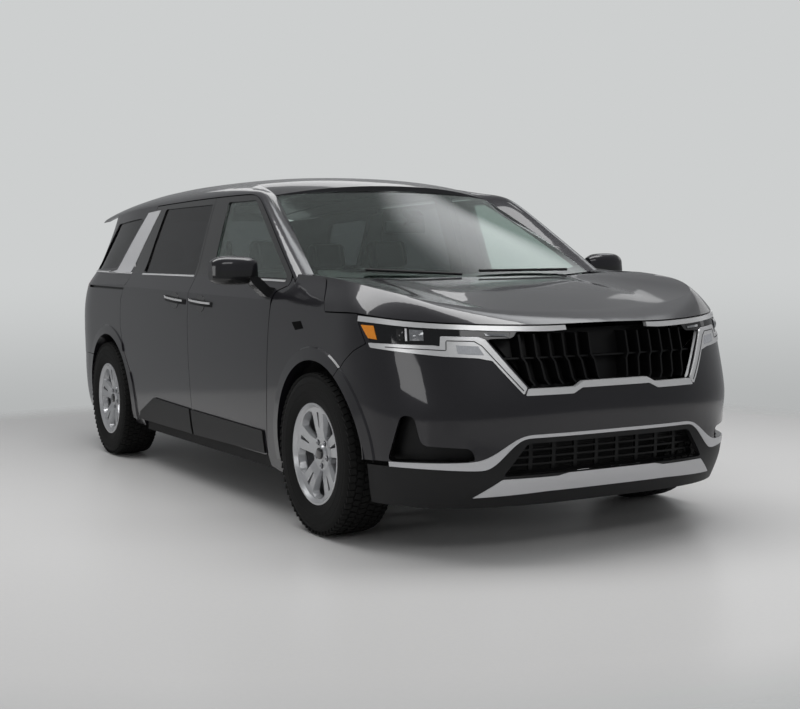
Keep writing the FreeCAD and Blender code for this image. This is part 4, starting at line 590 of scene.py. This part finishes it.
def pad(name, size, place, along=(), across=(), crown=0.014, bolster=0.0, replaced=()):
    """A stuffed pad: crowned faces, sides pulled in between their seams, and sunk seams across and along."""
    radius = CORNER_SHARE * min(size)
    half = [edge / 2 for edge in size]
    marks = [stations(along), stations(across), stations(())]
    shape = bmesh.new()
    bmesh.ops.create_cube(shape, size=2.0)
    bmesh.ops.subdivide_edges(shape, edges=shape.edges[:], cuts=PAD_CUTS - 1, use_grid_fill=True)
    for vert in shape.verts:
        u, v, w = (marks[i][round((vert.co[i] + 1) * PAD_CUTS / 2)] for i in range(3))
        flat = Vector((u * half[0], v * half[1], w * half[2]))
        core = Vector([max(min(c, h - radius), radius - h) for c, h in zip(flat, half)])
        away = flat - core
        spot = core + away.normalized() * radius if away.length > 1e-9 else flat
        front = max(0.0, spot.z / half[2])
        spot.z += crown * (1 - u * u) * (1 - v * v) * (front - 0.4 * max(0.0, -spot.z / half[2]))
        rise = min(1.0, max(0.0, (abs(v) - BOLSTER_FROM) / BOLSTER_OVER))
        spot.z += bolster * rise * rise * (3 - 2 * rise) * front * (1 - 0.5 * u * u)
        sunk = sum(math.exp(-((u - seam) / SEAM_REACH) ** 2) for seam in along)
        sunk += sum(math.exp(-((v - seam) / SEAM_REACH) ** 2) for seam in across)
        spot.z -= SEAM_DEPTH * min(sunk, 1.0) * front
        spot.y *= 1 - WAIST * math.cos(math.pi / 2 * max(-1.0, min(1.0, spot.z / half[2])))
        vert.co = spot
    bmesh.ops.transform(shape, matrix=place, verts=shape.verts)
    piece = finished(name, shape, seat_cloth, "root", replaced=replaced, angle=180.0)
    soft = piece.modifiers.new("sewn_cover", "SUBSURF")
    soft.levels = soft.render_levels = 1


def seat(name, x, y, width, height, floor=0.292, heads=((0.0, 0.26),), splits=((0.0, 1.0),), replaced=()):
    """A seat on its base: cushion, leaning back in its sections, and headrests on their posts."""
    z = floor + SEAT_CLEAR
    up = Vector((-math.sin(SEAT_LEAN), 0, math.cos(SEAT_LEAN)))
    face = Vector((math.cos(SEAT_LEAN), 0, math.sin(SEAT_LEAN)))
    turn = Matrix((up, Vector((0, -1, 0)), face)).transposed().to_4x4()
    seams = (-0.62, -0.21, 0.21, 0.62) if width > BENCH_WIDTH else (-0.58, 0.58)
    pad(name + "_cushion", (CUSHION_LONG, width - 0.004, PAD_THICK),
        Matrix.Translation((x + 0.015, y, z + height - 0.048)), along=(-0.35, 0.25), across=seams, bolster=0.014,
        replaced=replaced)
    foot = Vector((x - 0.25, y, z + height - 0.03))
    for index, (middle, share) in enumerate(splits):
        centre = foot + Vector((0, middle * width, 0)) + up * BACK_UP - face * BACK_BEHIND
        pad(name + "_back_" + str(index), (BACK_LONG, share * width - 0.006, PAD_THICK),
            Matrix.Translation(centre) @ turn, along=(-0.3, 0.3), across=(-0.58, 0.58), bolster=0.018)
    shape = bmesh.new()
    for index, (middle, size) in enumerate(heads):
        centre = foot + Vector((0, middle, 0)) + up * HEAD_UP - face * HEAD_BEHIND
        pad(name + "_headrest_" + str(index), (HEAD_TALL, size, HEAD_THICK), Matrix.Translation(centre) @ turn,
            across=(-0.7, 0.7), crown=0.008)
        for post in (-POST_APART, POST_APART):
            axis = centre + Vector((0, post, 0))
            rod(shape, axis - up * POST_LOW, axis - up * POST_HIGH, POST_RADIUS)
    finished(name + "_headrest_posts", shape, tube_steel, "root")
    shape = bmesh.new()
    block(shape, (0.36, width * 0.74, height - 0.13), (x, y, z + (height - 0.12) / 2), 0.02, 3)
    for runner in (-0.3, 0.3):
        block(shape, (0.46, 0.04, 0.022), (x, y + runner * width, z + 0.012), 0.004)
    finished(name + "_base", shape, soft_plastic, "root")


front, second, third = SEAT_ROWS
seat("front_right_seat", front, -0.38, 0.52, 0.33, replaced=("front_seats",))
seat("front_left_seat", front, 0.38, 0.52, 0.33)
seat("second_right_seat", second, -0.4, 0.5, 0.33, replaced=("second_row_seats",))
seat("second_left_seat", second, 0.4, 0.5, 0.33)
seat("second_middle_seat", second, 0.0, 0.28, 0.33, heads=((0.0, 0.22),))
seat("third_row_seat", third, 0.0, 1.24, 0.23, floor=0.44, heads=((-0.38, 0.24), (0.0, 0.24), (0.38, 0.24)),
     splits=((-0.2, 0.6), (0.3, 0.4)), replaced=("third_row_seats",))

# Stage: pale floor, plain pale backdrop and soft studio lamps

# The floor is a painted disc that fades into the backdrop at its rim
FLOOR_RADIUS = 4.75
FADE_START, FADE_END = 3.9, 4.7
floor_paint = grain(surface("studio_floor_paint", "#d2d1d0", 0.34), 0.02, 0.00002, ("#d0cfce", "#d4d3d2"))
tree = floor_paint.node_tree
place = add_node(tree, "ShaderNodeTexCoord", {})
reach = add_node(tree, "ShaderNodeVectorMath", {0: place.outputs["Object"]}, operation="LENGTH")
fade = add_node(tree, "ShaderNodeMapRange", {0: reach.outputs["Value"], 1: FADE_START, 2: FADE_END, 3: 1.0, 4: 0.0},
                interpolation_type="SMOOTHSTEP")
tree.links.new(fade.outputs[0], tree.nodes["Principled BSDF"].inputs["Alpha"])
shape = bmesh.new()
bmesh.ops.create_circle(shape, cap_ends=True, segments=128, radius=FLOOR_RADIUS)
mesh = bpy.data.meshes.new("studio_floor")
shape.to_mesh(mesh)
shape.free()
floor = bpy.data.objects.new("studio_floor", mesh)
bpy.context.scene.collection.objects.link(floor)
floor.data.materials.append(floor_paint)


def soft_lamp(name, place, target, width, height, watts):
    """A soft box that lights and is reflected, but isn't seen itself."""
    light = bpy.data.lights.new(name, "AREA")
    light.shape = "RECTANGLE"
    light.size = width
    light.size_y = height
    light.energy = watts
    piece = bpy.data.objects.new(name, light)
    bpy.context.scene.collection.objects.link(piece)
    aim = Vector(target) - Vector(place)
    piece.matrix_world = Matrix.Translation(Vector(place)) @ aim.to_track_quat("-Z", "Y").to_matrix().to_4x4()
    piece.visible_camera = False


# Name, place, point aimed at, width, height and watts
LAMPS = [("overhead_bank", (0.6, -0.4, 5.2), (0.2, -0.2, 0.0), 7.5, 2.4, 290),
         ("side_bank", (4.6, -8.5, 2.1), (0.8, 0.0, 0.7), 3.2, 1.5, 44),
         ("front_bank", (7.8, -1.0, 4.8), (1.5, 0.0, 0.6), 4.0, 1.6, 58),
         ("far_bank", (-2.0, 8.5, 3.6), (0.0, 0.0, 0.6), 8.0, 2.4, 30),
         ("roof_bank", (-4.5, 2.0, 3.8), (0.5, -0.3, 1.66), 3.4, 1.2, 12)]
for lamp in LAMPS:
    soft_lamp(*lamp)

# Backdrop: a pale wall, darker towards its foot, and dimmer where it only lights or is reflected
WALL_LOW, WALL_HIGH = "#b3b5b5", "#cdcfcf"
WALL_BLEND = (-0.115, 0.0)  # from and to, as the height of a level unit ray
LIT_STRENGTH, MIRRORED_STRENGTH, BLOOM_STRENGTH = 0.45, 0.32, 3.0
BLOOM_TOWARD = (-0.42, 0.59, 0.69)
BLOOM_EDGE = (0.982, 0.999)
world = bpy.data.worlds.new("pale_studio")
bpy.context.scene.world = world
world.use_nodes = True
tree = world.node_tree
tree.nodes.clear()
ray = add_node(tree, "ShaderNodeLightPath", {})
place = add_node(tree, "ShaderNodeTexCoord", {})
parts = add_node(tree, "ShaderNodeSeparateXYZ", {0: place.outputs["Generated"]})
height = add_node(tree, "ShaderNodeMapRange", {0: parts.outputs[2], 1: WALL_BLEND[0], 2: WALL_BLEND[1], 3: 0.0, 4: 1.0},
                  interpolation_type="SMOOTHSTEP")
wall = add_node(tree, "ShaderNodeMix", {0: height.outputs[0], 6: linear(WALL_LOW), 7: linear(WALL_HIGH)},
                data_type="RGBA")
shown = add_node(tree, "ShaderNodeBackground", {"Color": wall.outputs[2], "Strength": 1.0})
# A soft round lamp behind and above, seen only as the bright bloom on the windshield
toward_bloom = add_node(tree, "ShaderNodeVectorMath", {0: place.outputs["Generated"], 1: BLOOM_TOWARD},
                        operation="DOT_PRODUCT")
bloom = add_node(tree, "ShaderNodeMapRange",
                 {0: toward_bloom.outputs["Value"], 1: BLOOM_EDGE[0], 2: BLOOM_EDGE[1], 3: MIRRORED_STRENGTH,
                  4: BLOOM_STRENGTH}, interpolation_type="SMOOTHSTEP")
power = add_node(tree, "ShaderNodeMix",
                 {0: ray.outputs["Is Glossy Ray"], 2: LIT_STRENGTH, 3: bloom.outputs[0]})
ambient = add_node(tree, "ShaderNodeBackground", {"Color": linear("#e6e8ea"), "Strength": power.outputs[0]})
seen = add_node(tree, "ShaderNodeMath", {0: ray.outputs["Is Camera Ray"], 1: ray.outputs["Is Transmission Ray"]},
                operation="MAXIMUM")
mixed = add_node(tree, "ShaderNodeMixShader", {0: seen.outputs[0], 1: ambient.outputs[0], 2: shown.outputs[0]})
add_node(tree, "ShaderNodeOutputWorld", {"Surface": mixed.outputs[0]})

# Camera, solved from the photograph's wheels and outline: metres, degrees and millimetres
CAMERA_PLACE = (6.859, -3.468, 1.195)
YAW, PITCH, ROLL = 150.33, -3.14, -0.72
SENSOR, LENS = 36.0, 58.32
SHIFT = (-0.0071, -0.0195)
camera_data = bpy.data.cameras.new("view")
camera = bpy.data.objects.new("view", camera_data)
bpy.context.scene.collection.objects.link(camera)
yaw, pitch, roll = (math.radians(angle) for angle in (YAW, PITCH, ROLL))
forward = Vector((math.cos(pitch) * math.cos(yaw), math.cos(pitch) * math.sin(yaw), math.sin(pitch)))
level = forward.cross(Vector((0, 0, 1))).normalized()
above = level.cross(forward)
right = level * math.cos(roll) + above * math.sin(roll)
up = above * math.cos(roll) - level * math.sin(roll)
turn = Matrix((right, up, -forward)).transposed().to_4x4()
camera.matrix_world = Matrix.Translation(Vector(CAMERA_PLACE)) @ turn
camera_data.sensor_width = SENSOR
camera_data.lens = LENS
camera_data.shift_x, camera_data.shift_y = SHIFT
camera_data.clip_end = 200.0
bpy.context.scene.camera = camera
bpy.context.scene.view_settings.view_transform = "Standard"
